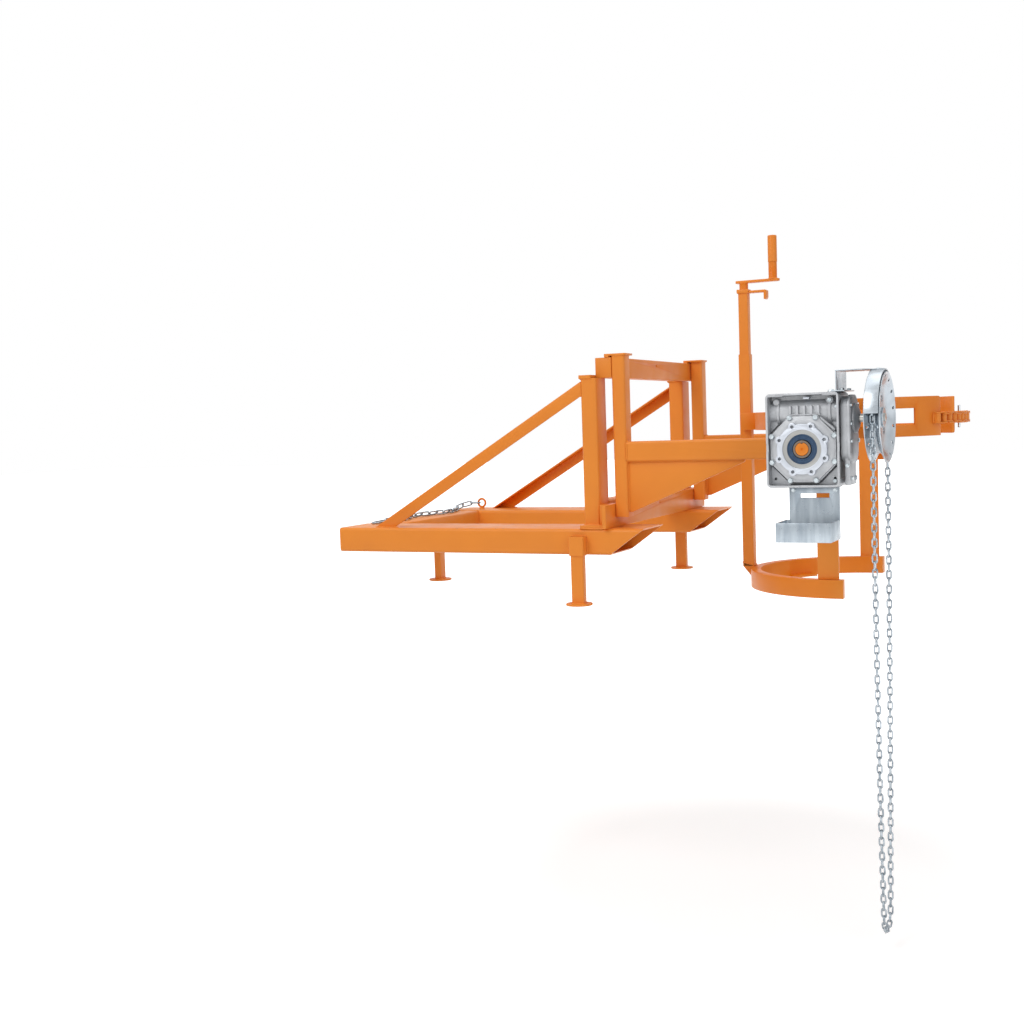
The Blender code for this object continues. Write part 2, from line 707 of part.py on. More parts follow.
def tether_eye():
    """A ring of round bar welded to a short stem."""
    centre = POCKET_HEIGHT + GAP + EYE_LIFT + EYE_RADIUS + EYE_WIRE
    circle = [
        (EYE_RADIUS + EYE_WIRE * math.cos(a), EYE_WIRE * math.sin(a))
        for a in (math.tau * i / 8 for i in range(8))
    ]
    ring = turned("tether_eye", circle, along_y(EYE_X, EYE_Y, centre), steps=20)
    stem = turned("stem", disc(0.008, POCKET_HEIGHT + GAP, centre - EYE_RADIUS),
                  upright(EYE_X, EYE_Y, 0.0), steps=12)
    return join(ring, stem)


def link_shape(shape, centre, tangent, side, pitch, wire, width, points, sides):
    """Adds one chain link, a bar of few sides swept round an oval, to a bmesh."""
    normal = tangent.cross(side)
    end = width / 2 - wire / 2
    straight = (pitch - LINK_BITE) / 2 - (end - wire / 2) * math.cos(math.pi / points)
    rings = []
    for index in range(points):
        angle = math.tau * (index + 0.5) / points
        out = Vector((math.cos(angle), math.sin(angle)))
        shift = straight if out.x > 0 else -straight
        middle = centre + tangent * (shift + out.x * end) + side * (out.y * end)
        away = tangent * out.x + side * out.y
        ring = []
        for turn in range(sides):
            roll = math.pi + math.tau * turn / sides
            ring.append(shape.verts.new(
                middle + (away * math.cos(roll) + normal * math.sin(roll)) * wire / 2))
        rings.append(ring)
    for here, there in zip(rings, rings[1:] + rings[:1]):
        for turn in range(sides):
            after = (turn + 1) % sides
            shape.faces.new((here[turn], here[after], there[after], there[turn]))


def touch_points(route, pitch, count):
    """Points on a polyline, each a straight pitch from the one before."""
    found = [route[0]]
    for a, b in zip(route, route[1:]):
        while len(found) <= count and (b - found[-1]).length >= pitch:
            near, far = 0.0, 1.0
            for _ in range(30):
                middle = (near + far) / 2
                if (a.lerp(b, middle) - found[-1]).length < pitch:
                    near = middle
                else:
                    far = middle
            found.append(a.lerp(b, far))
            a = found[-1]
    return found


def chain(name, touches, pitch, wire, width, first_side, settle, points, sides, finish):
    """A chain of real links that meet at the given points, every other one a quarter turn round.

    Over the first settle links it rolls on to its edges, as a chain that lies on a plate does.
    """
    halves = [bmesh.new(), bmesh.new()]
    for index, (a, b) in enumerate(zip(touches, touches[1:])):
        tangent = (b - a).normalized()
        side = (first_side - tangent * first_side.dot(tangent)).normalized()
        roll = math.pi / 4 * min(1.0, index / settle) if settle else 0.0
        side = Matrix.Rotation(roll + math.pi / 2 * (index % 2), 3, tangent) @ side
        middle = (a + b) / 2
        link_shape(halves[index % 2], middle, tangent, side, pitch, wire, width, points, sides)
    odd = add_piece(name, halves[0], finish)
    even = add_piece("even_links", halves[1], finish)
    return join(odd, even)


def smooth_route(points, steps=24):
    """A curve through the given points."""
    points = [Vector(p) for p in points]
    padded = [2 * points[0] - points[1]] + points + [2 * points[-1] - points[-2]]
    route = []
    for a, b, c, d in zip(padded, padded[1:], padded[2:], padded[3:]):
        for step in range(steps):
            t = step / steps
            route.append(0.5 * (
                2 * b + (c - a) * t + (2 * a - 5 * b + 4 * c - d) * t * t
                + (3 * b - a - 3 * c + d) * t ** 3))
    route.append(points[-1])
    return route


def tether_chain():
    """The long-link chain that lies across the frame, and the hook on its end."""
    top = POCKET_HEIGHT + GAP
    lie = top + (TETHER_WIDTH - TETHER_WIRE) / 2 * math.sin(math.pi / 4) + TETHER_WIRE / 2 + GAP
    eye_z = top + EYE_LIFT + EYE_RADIUS + EYE_WIRE
    start = EYE_X - EYE_RADIUS + EYE_WIRE + RUN
    bends = [
        (start, EYE_Y, eye_z), (start - TETHER_PITCH, EYE_Y, eye_z), (0.028, 0.318, lie + 0.005),
        (0.046, 0.255, lie), (0.072, 0.190, lie), (0.082, 0.120, lie), (0.062, 0.045, lie),
        (0.040, -0.020, lie), (0.050, -0.090, lie), (0.076, -0.155, lie), (0.078, -0.225, lie),
        (0.056, -0.300, lie), (0.050, -0.400, lie),
    ]
    touches = touch_points(smooth_route(bends), TETHER_PITCH, TETHER_LINKS)
    chain("tether_chain", touches, TETHER_PITCH, TETHER_WIRE, TETHER_WIDTH,
          Vector((0.0, 1.0, 0.0)), 4, 8, 4, ZINC)
    last = touches[-1]
    ahead = last - touches[-2]
    ahead.z = 0.0
    end = last + ahead.normalized() * TETHER_HOOK
    end.z = top + TETHER_HOOK_WIRE / 2 + GAP
    tangent = (end - last).normalized()
    flat = tangent.cross(Vector((0.0, 0.0, 1.0))).normalized()
    shape = bmesh.new()
    link_shape(shape, last + tangent * (TETHER_HOOK / 2 - HOOK_SLACK), tangent, flat, TETHER_HOOK,
               TETHER_HOOK_WIRE, TETHER_HOOK_WIDTH, 12, 6)
    return add_piece("tether_hook", shape, ZINC)


def gear_faces():
    """Y of the gearbox's inner and outer end faces."""
    inner = -(BEAM_HALF + 2 * GAP + END_PLATE)
    return inner, inner - GEAR_DEPTH


def gear_layout():
    """Y of the housing's rim, of its middle and of the seat of its cover, and the cover's size."""
    inner, outer = gear_faces()
    rim = outer + RIM_BACK
    seat = rim + COVER_SET_BACK + COVER_THICK
    flat = GEAR_WIDTH / 2 - GEAR_RIM - COVER_MARGIN
    return rim, (rim + inner) / 2, seat, flat


def gear_box_outline(grow=0.0, corner=GEAR_CORNER):
    """The housing seen from the side, about the output shaft."""
    middle = (GEAR_RISE - GEAR_DROP) / 2
    points = rounded(GEAR_WIDTH / 2 + grow, (GEAR_RISE + GEAR_DROP) / 2 + grow, corner, 3)
    return [(PIVOT_X + x, PIVOT_Z + middle + y) for x, y in points]


def gear_housing():
    """The cast housing: an open-fronted box with a raised rim, a worm barrel and ribs."""
    back, _ = gear_faces()
    front, middle, cover_back, flat = gear_layout()
    housing = prism("gear_housing", gear_box_outline(), back - front, side_on(back), CAST)
    recess = prism("recess", gear_box_outline(-GEAR_RIM, 0.75 * GEAR_CORNER), RECESS_DEPTH + 0.001,
                   side_on(front + RECESS_DEPTH))
    seat = prism("seat", octagon(flat), RECESS_DEPTH, side_on(cover_back + RECESS_DEPTH))
    cut(housing, cut(recess, seat))
    barrel_z = PIVOT_Z + CENTRE_DISTANCE
    half = GEAR_WIDTH / 2 - 0.004
    barrel_at = along_x(PIVOT_X, middle, barrel_z)
    join(housing, turned("barrel", disc(BARREL_RADIUS, -half, half), barrel_at, steps=20))
    wide, mouth, bore = WORM_WHEEL_RADIUS + 0.008, WORM_WHEEL_RADIUS + 0.003, HOLLOW_RADIUS + RUN
    reach = WORM_WHEEL_WIDTH / 2 + 0.010
    past = GEAR_DEPTH
    inside = turned("inside", [
        (0.0, -past), (mouth, -past), (mouth, -reach), (wide, -reach), (wide, reach),
        (bore, reach), (bore, past), (0.0, past),
    ], along_y(PIVOT_X, middle, PIVOT_Z), steps=32)
    blind = WORM_INSET - 0.005 - GEAR_WIDTH / 2
    worm_room = turned("worm_room", disc(WORM_RADIUS + 0.004, blind, GEAR_WIDTH),
                       along_x(PIVOT_X, middle, barrel_z), steps=16)
    cut(housing, [inside, worm_room])
    for index in range(BARREL_RIBS):
        x = PIVOT_X - 0.033 + BARREL_RIB_PITCH * index
        rib = block("rib", (x - BARREL_RIB_THICK / 2, middle - BARREL_RADIUS - 0.003, barrel_z - 0.016),
                    (x + BARREL_RIB_THICK / 2, middle - BARREL_RADIUS + 0.005, barrel_z + 0.018))
        join(housing, rib)
    wide = PLUG_RADIUS
    profile = [(0.0, -0.004), (wide, -0.004), (wide, 0.003), (wide - 0.004, 0.008), (0.0, 0.008)]
    plug = turned("plug", profile, upright(PIVOT_X + PLUG_X, middle, PIVOT_Z + GEAR_RISE), steps=12)
    return join(housing, plug)


def octagon(flat):
    """The eight-sided cover outline, about the output shaft."""
    corner = flat / math.cos(math.pi / 8)
    return [
        (PIVOT_X + corner * math.cos(a), PIVOT_Z + corner * math.sin(a))
        for a in (math.pi / 8 + math.pi / 4 * i for i in range(8))
    ]


def lug_places():
    """X and Z of the eight lugs and holes of the output flange."""
    angles = [math.pi / 8 + math.pi / 4 * index for index in range(8)]
    return [(PIVOT_X + LUG_CIRCLE * math.cos(a), PIVOT_Z + LUG_CIRCLE * math.sin(a)) for a in angles]


def lobed_outline(steps=96):
    """The output flange: a circle that swells round each of its eight lugs."""
    points = []
    for index in range(steps):
        angle = math.tau * index / steps
        off = (angle % (math.pi / 4)) - math.pi / 8
        reach = LUG_RADIUS ** 2 - (LUG_CIRCLE * math.sin(off)) ** 2
        radius = FLANGE_OUTER
        if reach > 0:
            radius = max(radius, LUG_CIRCLE * math.cos(off) + math.sqrt(reach))
        points.append((PIVOT_X + radius * math.cos(angle), PIVOT_Z + radius * math.sin(angle)))
    return points


def gear_cover():
    """The bolted side cover with the lobed, machined output flange."""
    _, outer = gear_faces()
    _, _, seat, flat = gear_layout()
    cover = prism("gear_cover", octagon(flat - 2 * GAP), COVER_THICK, side_on(seat - GAP), CAST)
    cut(cover, drill(PIVOT_X, seat, PIVOT_Z, SEAL_RADIUS + 0.004, GEAR_DEPTH, along_y, 24))
    back = seat - GAP - 0.003
    flange = prism("flange", lobed_outline(), back - outer, side_on(back))
    bore, room, floor = HOLLOW_RADIUS + RUN, SEAL_RADIUS + GAP, outer + FLANGE_STEP
    sunk = turned("sunk", [
        (0.0, outer - 0.01), (FLANGE_INNER, outer - 0.01), (FLANGE_INNER, floor), (room, floor),
        (room, floor + SEAL_THICK), (bore, floor + SEAL_THICK), (bore, seat + 0.01), (0.0, seat + 0.01),
    ], along_y(PIVOT_X, 0.0, PIVOT_Z), steps=32)
    cut(flange, sunk)
    for x, z in lug_places():
        profile = disc(LUG_HOLE, outer - 0.01, outer + 0.012)
        cut(flange, turned("hole", profile, along_y(x, 0.0, z), steps=9))
    return join(cover, flange)


def output_parts():
    """The seal, the hollow shaft, the worm wheel on it and the worm above."""
    inner, outer = gear_faces()
    _, middle, _, _ = gear_layout()
    face = outer + FLANGE_STEP
    turned("shaft_seal", sleeve(HOLLOW_RADIUS + RUN, SEAL_RADIUS, face + 0.001, face + SEAL_THICK),
           along_y(PIVOT_X, 0.0, PIVOT_Z), RUBBER, 28)
    turned("hollow_shaft", sleeve(SHAFT_RADIUS + GAP, HOLLOW_RADIUS, outer + 0.002, inner - 0.002),
           along_y(PIVOT_X, 0.0, PIVOT_Z), STEEL, 24)
    half = WORM_WHEEL_WIDTH / 2
    throat = WORM_WHEEL_RADIUS
    rim = [(throat + 0.002, -half), (throat, -half / 2), (throat, half / 2), (throat + 0.002, half)]
    hub = [(HOLLOW_RADIUS + GAP, half), (HOLLOW_RADIUS + GAP, -half)]
    turned("worm_wheel", rim + hub, along_y(PIVOT_X, middle, PIVOT_Z), BRONZE, 40)
    z = PIVOT_Z + CENTRE_DISTANCE
    root = WORM_INSET - GEAR_WIDTH / 2
    tip = GEAR_WIDTH / 2 + WORM_TAIL
    half = WORM_HALF
    profile = [
        (0.0, root), (WORM_JOURNAL, root), (WORM_JOURNAL, -half - 0.003), (WORM_RADIUS, -half),
        (WORM_RADIUS, half), (WORM_JOURNAL, half + 0.003), (WORM_JOURNAL, tip), (0.0, tip),
    ]
    turned("worm", profile, along_x(PIVOT_X, middle, z), STEEL, 16)


def first_stage():
    """The helical first stage: a housing on the worm's end, its cap and a lower flange."""
    _, middle, _, _ = gear_layout()
    x = PIVOT_X + GEAR_WIDTH / 2 + GAP
    height = STAGE_TOP - STAGE_BOTTOM
    outline = rounded(height / 2, STAGE_HALF_WIDTH, STAGE_CORNER, 4)
    place = along_x(x, middle, (STAGE_TOP + STAGE_BOTTOM) / 2)
    stage = prism("stage_housing", outline, STAGE_X, place, CAST)
    outline = rounded(height / 2 + STAGE_LIP, STAGE_HALF_WIDTH + STAGE_LIP, STAGE_CORNER + 0.002, 4)
    place = along_x(x + STAGE_LIP_X, middle, (STAGE_TOP + STAGE_BOTTOM) / 2)
    join(stage, prism("flange", outline, STAGE_LIP_THICK, place))
    foot = block("foot", (x + 0.008, middle - STAGE_FOOT_HALF, STAGE_BOTTOM - STAGE_FOOT_DROP),
                 (x + STAGE_LIP_X + 0.004, middle + STAGE_FOOT_HALF, STAGE_BOTTOM + 0.02))
    join(stage, foot)
    worm_room = turned("worm_room", disc(WORM_JOURNAL + RUN, -0.01, WORM_TAIL + 0.004),
                       along_x(x, middle, PIVOT_Z + CENTRE_DISTANCE), steps=16)
    shaft_room = turned("shaft_room", disc(INPUT_RADIUS + RUN, STAGE_X - INPUT_SUNK, STAGE_X + 0.01),
                        along_x(x, WHEEL_Y, WHEEL_Z), steps=16)
    cut(stage, [worm_room, shaft_room])
    cap_x = x + STAGE_X + GAP
    cap = turned("input_cap", [
        (INPUT_RADIUS + RUN, 0.0), (CAP_RADIUS, 0.0), (CAP_RADIUS, 0.4 * CAP_HEIGHT),
        (0.78 * CAP_RADIUS, 0.7 * CAP_HEIGHT), (0.48 * CAP_RADIUS, CAP_HEIGHT),
        (INPUT_RADIUS + RUN, CAP_HEIGHT),
    ], along_x(cap_x, WHEEL_Y, WHEEL_Z), CAST, 28)
    return cap


def hand_wheel():
    """The pocket-less chain wheel: two dished, holed flanges with a groove between."""
    plane = PIVOT_X + WHEEL_PLANE
    half = WHEEL_HALF
    bottom = GROOVE_HALF
    profile = [
        (INPUT_RADIUS + GAP, -HUB_BACK), (HUB_RADIUS, -HUB_BACK), (HUB_RADIUS, -WHEEL_WEB),
        (GROOVE_RADIUS - 0.012, -WHEEL_WEB), (GROOVE_RADIUS - 0.002, -bottom - 0.003),
        (WHEEL_RADIUS, -half), (WHEEL_RADIUS, -half + 0.0025), (GROOVE_RADIUS, -bottom),
        (GROOVE_RADIUS, bottom), (WHEEL_RADIUS, half - 0.0025), (WHEEL_RADIUS, half),
        (GROOVE_RADIUS - 0.002, bottom + 0.003), (GROOVE_RADIUS - 0.012, WHEEL_WEB),
        (HUB_RADIUS, WHEEL_WEB), (HUB_RADIUS, HUB_FRONT), (INPUT_RADIUS + GAP, HUB_FRONT),
    ]
    wheel = turned("hand_wheel", profile, along_x(plane, WHEEL_Y, WHEEL_Z), ZINC, 32)
    for index in range(WHEEL_HOLES):
        angle = math.tau * (index + 0.5) / WHEEL_HOLES
        radius = (GROOVE_RADIUS + WHEEL_RADIUS) / 2 + 0.001
        y = WHEEL_Y + radius * math.cos(angle)
        z = WHEEL_Z + radius * math.sin(angle)
        cut(wheel, drill(plane, y, z, WHEEL_HOLE, 3 * WHEEL_HALF, along_x, 6))
    for index in range(WEB_HOLES):
        angle = math.tau * (index + 0.25) / WEB_HOLES
        y = WHEEL_Y + WEB_HOLE_CIRCLE * math.cos(angle)
        z = WHEEL_Z + WEB_HOLE_CIRCLE * math.sin(angle)
        cut(wheel, drill(plane, y, z, WEB_HOLE, 3 * WHEEL_HALF, along_x, 8))
    start = GEAR_WIDTH / 2 + STAGE_X - INPUT_SUNK + 0.002
    profile = disc(INPUT_RADIUS, PIVOT_X + start, plane + HUB_FRONT + 0.004)
    turned("input_shaft", profile, along_x(0.0, WHEEL_Y, WHEEL_Z), STEEL, 16)
    return wheel


def chain_route():
    """The hand chain's loop: over the wheel, down, and round the open bottom."""
    plane = PIVOT_X + WHEEL_PLANE
    points = []
    for index in range(49):
        angle = math.pi * index / 48
        points.append(Vector((plane, WHEEL_Y + CHAIN_RADIUS * math.cos(angle),
                              WHEEL_Z + CHAIN_RADIUS * math.sin(angle))))
    toe_z = WHEEL_Z - CHAIN_DROP + CHAIN_TOE
    left = []
    for index in range(1, 60):
        t = index / 60
        half = CHAIN_RADIUS + (CHAIN_TOE - CHAIN_RADIUS) * t ** 2.2
        left.append((half, WHEEL_Z + (toe_z - WHEEL_Z) * t))
    points += [Vector((plane, WHEEL_Y - half, z)) for half, z in left]
    for index in range(25):
        angle = math.pi * index / 24
        points.append(Vector((plane, WHEEL_Y - CHAIN_TOE * math.cos(angle),
                              toe_z - CHAIN_TOE * math.sin(angle))))
    points += [Vector((plane, WHEEL_Y + half, z)) for half, z in reversed(left)]
    points.append(points[0])
    return points


def hand_chain():
    """The endless hand chain: real links whose pitch is fitted so that the last meets the first."""
    route = chain_route()
    total = sum((b - a).length for a, b in zip(route, route[1:]))
    count = 2 * round(total / CHAIN_PITCH / 2)
    pitch = total / count
    for _ in range(12):
        touches = touch_points(route + route[1:3], pitch, count)
        miss = touches[-1] - route[0]
        pitch -= miss.dot((route[1] - route[0]).normalized()) / count
    touches[-1] = route[0]
    chain("hand_chain", touches, pitch, CHAIN_WIRE, CHAIN_WIDTH, Vector((1.0, 0.0, 0.0)),
          0, 6, 3, ZINC)


def chain_guard():
    """The bent strip that holds the chain on the wheel, with its sheet and leg."""
    plane = PIVOT_X + WHEEL_PLANE
    radius = WHEEL_RADIUS + GUARD_GAP
    half = GUARD_WIDTH / 2
    outer = radius + GUARD_THICK
    first = math.radians(GUARD_END_DEG)
    shape = bmesh.new()
    face = shape.faces.new([
        shape.verts.new((plane + x, WHEEL_Y - r * math.cos(first), WHEEL_Z + r * math.sin(first)))
        for r, x in ((radius, -half), (outer, -half), (outer, half), (radius, half))
    ])
    bmesh.ops.spin(shape, geom=[face], axis=(1, 0, 0), cent=(0, WHEEL_Y, WHEEL_Z),
                   angle=2 * first - math.pi, steps=24)
    guard = add_piece("chain_guard", shape, ZINC)
    low = WHEEL_Z + radius + 0.0006
    leg_x = PIVOT_X + GEAR_WIDTH / 2 - GUARD_LEG_INSET
    foot = PIVOT_Z + GEAR_RISE + GAP
    wide = GUARD_SHEET / 2
    front, back, tip = plane + half - 0.002, plane - half + 0.002, plane - half - 0.014
    outline = [
        (leg_x, -wide), (tip, -wide), (back, -0.026), (front, -0.022),
        (front, 0.022), (back, 0.026), (tip, wide), (leg_x, wide),
    ]
    sheet = prism("sheet", outline, GUARD_THICK, upright(0.0, WHEEL_Y, low))
    sole = foot + GUARD_THICK
    outline = [
        (leg_x - GUARD_HEEL, foot), (leg_x + GUARD_TOE, foot), (leg_x + GUARD_TOE, sole),
        (leg_x + GUARD_THICK, sole), (leg_x + GUARD_THICK, low + 0.001), (leg_x, low + 0.001),
        (leg_x, sole), (leg_x - GUARD_HEEL, sole),
    ]
    leg = prism("leg", outline, 2 * wide - 0.002, side_on(WHEEL_Y + wide - 0.001))
    return join(guard, [sheet, leg])


def chain_tray():
    """The folded tray under the gearbox that keeps the chain when travelling."""
    _, back, _, _ = gear_layout()
    left = PIVOT_X - GEAR_WIDTH / 2 + TRAY_INSET
    right = left + TRAY_WIDTH
    top = PIVOT_Z - GEAR_DROP - GAP
    t = TRAY_SHEET
    lip = TRAY_FLOOR_Z + TRAY_HEIGHT
    tray = block("chain_tray", (left, back - TRAY_DEPTH, TRAY_FLOOR_Z), (right, back, lip), ZINC)
    inside = block("inside", (left + t, back - TRAY_DEPTH + t, TRAY_FLOOR_Z + t),
                   (right - t, back - t, lip + 1))
    cut(tray, inside)
    panel = block("panel", (left + 0.010, back - t, lip - 0.010), (right, back, top))
    tab = block("tab", (left + 0.010, back - t, top - t), (right, back + 0.030, top))
    slot_low = lip + TRAY_SLOT_RISE
    slot = block("slot", (left + 0.041, back - 0.01, slot_low),
                 (right - 0.028, back + 0.01, slot_low + TRAY_SLOT_HEIGHT))
    join(tray, join(panel, [tab]))
    return cut(tray, slot)


def flange_bearing():
    """A cast bearing unit on the left arm, square with round corners."""
    low = BEAM_HALF + 2 * GAP + END_PLATE
    outline = [(PIVOT_X + x, PIVOT_Z + z) for x, z in rounded(BEARING_HALF, BEARING_HALF, 0.016, 3)]
    unit = prism("flange_bearing", outline, BEARING_FLANGE, side_on(low + BEARING_FLANGE), CAST)
    barrel = turned("barrel", [(0.0, low + 0.010), (0.046, low + 0.010), (0.042, low + 0.026),
                               (0.036, low + BEARING_DEPTH), (0.0, low + BEARING_DEPTH)],
                    along_y(PIVOT_X, 0.0, PIVOT_Z), steps=28)
    join(unit, barrel)
    return cut(unit, drill(PIVOT_X, low, PIVOT_Z, SHAFT_RADIUS + RUN, 4 * BEARING_DEPTH, along_y, 24))


def belly_band():
    """The bar round the rear of the drum, with the saddle that holds the mast."""
    low = BAND_Z - BAND_HEIGHT / 2
    high = BAND_Z + BAND_HEIGHT / 2
    stop = -PLATE_BACK_DEG + 0.1
    band = bent_bar("belly_band", BAND_INNER, BAND_OUTER, low, high, -stop, -180 + stop, 24)
    half = MAST_SIDE / 2 + GAP
    saddle = block("saddle", (MAST_X - SADDLE_BACK, -SADDLE_HALF, low),
                   (DRUM_X - BAND_OUTER + BAND_THICK / 2, SADDLE_HALF, high))
    slot = block("slot", (MAST_X - 2 * MAST_SIDE, -half, low - 0.01), (MAST_X + half, half, high + 0.01))
    profile = disc(BAND_INNER + 0.0005, low - 0.01, high + 0.01)
    room = turned("room", profile, upright(DRUM_X, 0, 0), steps=96)
    cut(saddle, [slot, room])
    return join(band, saddle)


def corner_cutter(degrees, ahead, up, z):
    """What is taken off a plate's end to round one corner of it."""
    over = 0.004
    outline = [(over, -PLATE_CORNER), (over, over), (-PLATE_CORNER, over)]
    for step in range(5):
        angle = math.pi / 2 * (1 - step / 4)
        outline.append((PLATE_CORNER * (math.cos(angle) - 1), PLATE_CORNER * (math.sin(angle) - 1)))
    corner = on_drum(BAND_INNER - over, degrees, z)
    out = Vector((corner.x - DRUM_X, corner.y, 0.0)).normalized()
    along = Vector((-out.y, out.x, 0.0)) * ahead
    frame = Matrix((along, Vector((0.0, 0.0, up)), out)).transposed().to_4x4()
    return prism("corner", outline, BAND_THICK + 2 * over, Matrix.Translation(corner) @ frame)


def side_plate(word, side):
    """The curved plate that bears on the drum's flank, with its window and round corners."""
    low = BAND_Z - PLATE_HEIGHT / 2
    high = BAND_Z + PLATE_HEIGHT / 2
    if side < 0:
        start, end = PLATE_BACK_DEG, PLATE_FRONT_DEG
        window = (WINDOW_FROM_DEG, WINDOW_TO_DEG)
    else:
        start, end = 180 - PLATE_BACK_DEG, 180 - PLATE_FRONT_DEG
        window = (180 - WINDOW_FROM_DEG, 180 - WINDOW_TO_DEG)
    plate = bent_bar(f"side_plate_{word}", BAND_INNER, BAND_OUTER, low, high, start, end, 20)
    half = WINDOW_HEIGHT / 2
    opening = bent_bar("window", BAND_INNER - 0.02, BAND_OUTER + 0.02, BAND_Z - half, BAND_Z + half,
                       *window, 6)
    ahead = -side
    corners = [corner_cutter(end, ahead, up, z) for up, z in ((1, high), (-1, low))]
    return cut(plate, [opening] + corners)


def strap(word, side):
    """The flat strap from the side plate down to the ring."""
    low, high = mirrored(side, BAND_OUTER + GAP, BAND_OUTER + GAP + STRAP_THICK)
    middle = PIVOT_X + STRAP_SHIFT
    return block(
        f"strap_{word}",
        (middle - STRAP_WIDTH / 2, low, RING_BOTTOM + RING_HEIGHT + GAP),
        (middle + STRAP_WIDTH / 2, high, BAND_Z + PLATE_HEIGHT / 2 - 0.010),
    )


def bottom_ring():
    """The box-section half ring under the drum, with two lugs that its rim stands on."""
    inner, outer = BAND_INNER, RING_OUTER
    top = RING_BOTTOM + RING_HEIGHT
    start, end = RING_END_DEG, -180 - RING_END_DEG
    ring = bent_bar("bottom_ring", inner, outer, RING_BOTTOM, top, start, end, 36)
    w = RING_WALL
    inside = bent_bar("inside", inner + w, outer - w, RING_BOTTOM + w, top - w, start - 1, end + 1, 36)
    cut(ring, inside)
    for degrees in REST_AT:
        point = on_drum((inner + outer) / 2, degrees + 30, RING_BOTTOM)
        cut(ring, drill(*point, RING_DRAIN, 4 * RING_WALL))
        join(ring, bent_bar("rest", inner - REST_REACH, inner + w / 2, RING_BOTTOM - 0.0005,
                            RING_BOTTOM + REST_THICK, degrees - 8, degrees + 8, 5))
    return ring


def shafts():
    """The right shaft through the gearbox and the left one in the bearing."""
    base = BAND_OUTER + 2 * GAP + STRAP_THICK
    shoulder = SHAFT_RADIUS + SHAFT_SHOULDER
    _, gear_outer = gear_faces()
    neck = BEAM_HALF - ARM_WIDTH - 0.003
    for word, side, tip in (("right", -1, -gear_outer - 0.001), ("left", 1, LEFT_SHAFT_TIP)):
        profile = [
            (0.0, base), (SHAFT_FLANGE_RADIUS, base), (SHAFT_FLANGE_RADIUS, base + SHAFT_FLANGE),
            (shoulder, base + SHAFT_FLANGE + 0.004), (shoulder, neck),
            (SHAFT_RADIUS, neck + 0.002), (SHAFT_RADIUS, tip - 0.001), (SHAFT_RADIUS - 0.001, tip),
            (0.0, tip),
        ]
        profile = [(radius, side * height) for radius, height in profile]
        turned(f"shaft_{word}", profile, along_y(PIVOT_X, 0.0, PIVOT_Z), ORANGE, 24)


def mast():
    """The square mast, its foot on the ring and the fixed nut of its screw."""
    bottom = RING_BOTTOM + RING_HEIGHT + GAP
    tube = hollow_bar("mast_tube", (MAST_SIDE, MAST_SIDE), MAST_WALL, MAST_TOP - bottom,
                      upright(MAST_X, 0.0, bottom), corner=0.003)
    rear = MAST_X - MAST_SIDE / 2
    face = DRUM_X - RING_OUTER - GAP
    join(tube, prism("foot", [
        (rear, bottom + 0.012), (rear, bottom), (face, bottom - FOOT_DROP), (face, bottom + 0.004),
        (rear + 0.004, bottom + 0.012),
    ], MAST_SIDE, side_on(MAST_SIDE / 2)))
    half = MAST_SIDE / 2 - MAST_WALL - GAP
    nut = block("screw_nut", (MAST_X - half, -half, NUT_BOTTOM),
                (MAST_X + half, half, NUT_BOTTOM + NUT_HEIGHT), STEEL)
    cut(nut, drill(MAST_X, 0.0, NUT_BOTTOM, SCREW_RADIUS + RUN, 4 * NUT_HEIGHT, steps=16))
    return tube


def inner_mast():
    """The sliding inner tube with its collar and the bar that hooks over the rim."""
    tube = hollow_bar("mast_inner", (INNER_SIDE, INNER_SIDE), INNER_WALL, INNER_TOP - INNER_BOTTOM + 0.001,
                      upright(MAST_X, 0.0, INNER_BOTTOM), corner=0.003)
    half = COLLAR_SIDE / 2
    collar = block("collar", (MAST_X - half, -half, INNER_TOP),
                   (MAST_X + half, half, INNER_TOP + COLLAR_THICK))
    join(tube, collar)
    cut(tube, drill(MAST_X, 0.0, INNER_TOP, SCREW_RADIUS + RUN, 4 * COLLAR_THICK, steps=16))
    start = MAST_X + half + GAP
    top = INNER_TOP + HOOK_BAR_THICK
    claw = INNER_TOP - HOOK_CLAW_DROP
    tip = HOOK_BAR_TIP
    outline = [
        (start, INNER_TOP), (tip - 0.008, INNER_TOP), (tip - 0.008, claw), (tip - 0.004, claw),
        (tip, claw + 0.006), (tip, top - 0.003), (tip - 0.003, top), (start, top),
    ]
    prism("rim_hook", outline, HOOK_BAR_WIDTH, side_on(HOOK_BAR_WIDTH / 2))


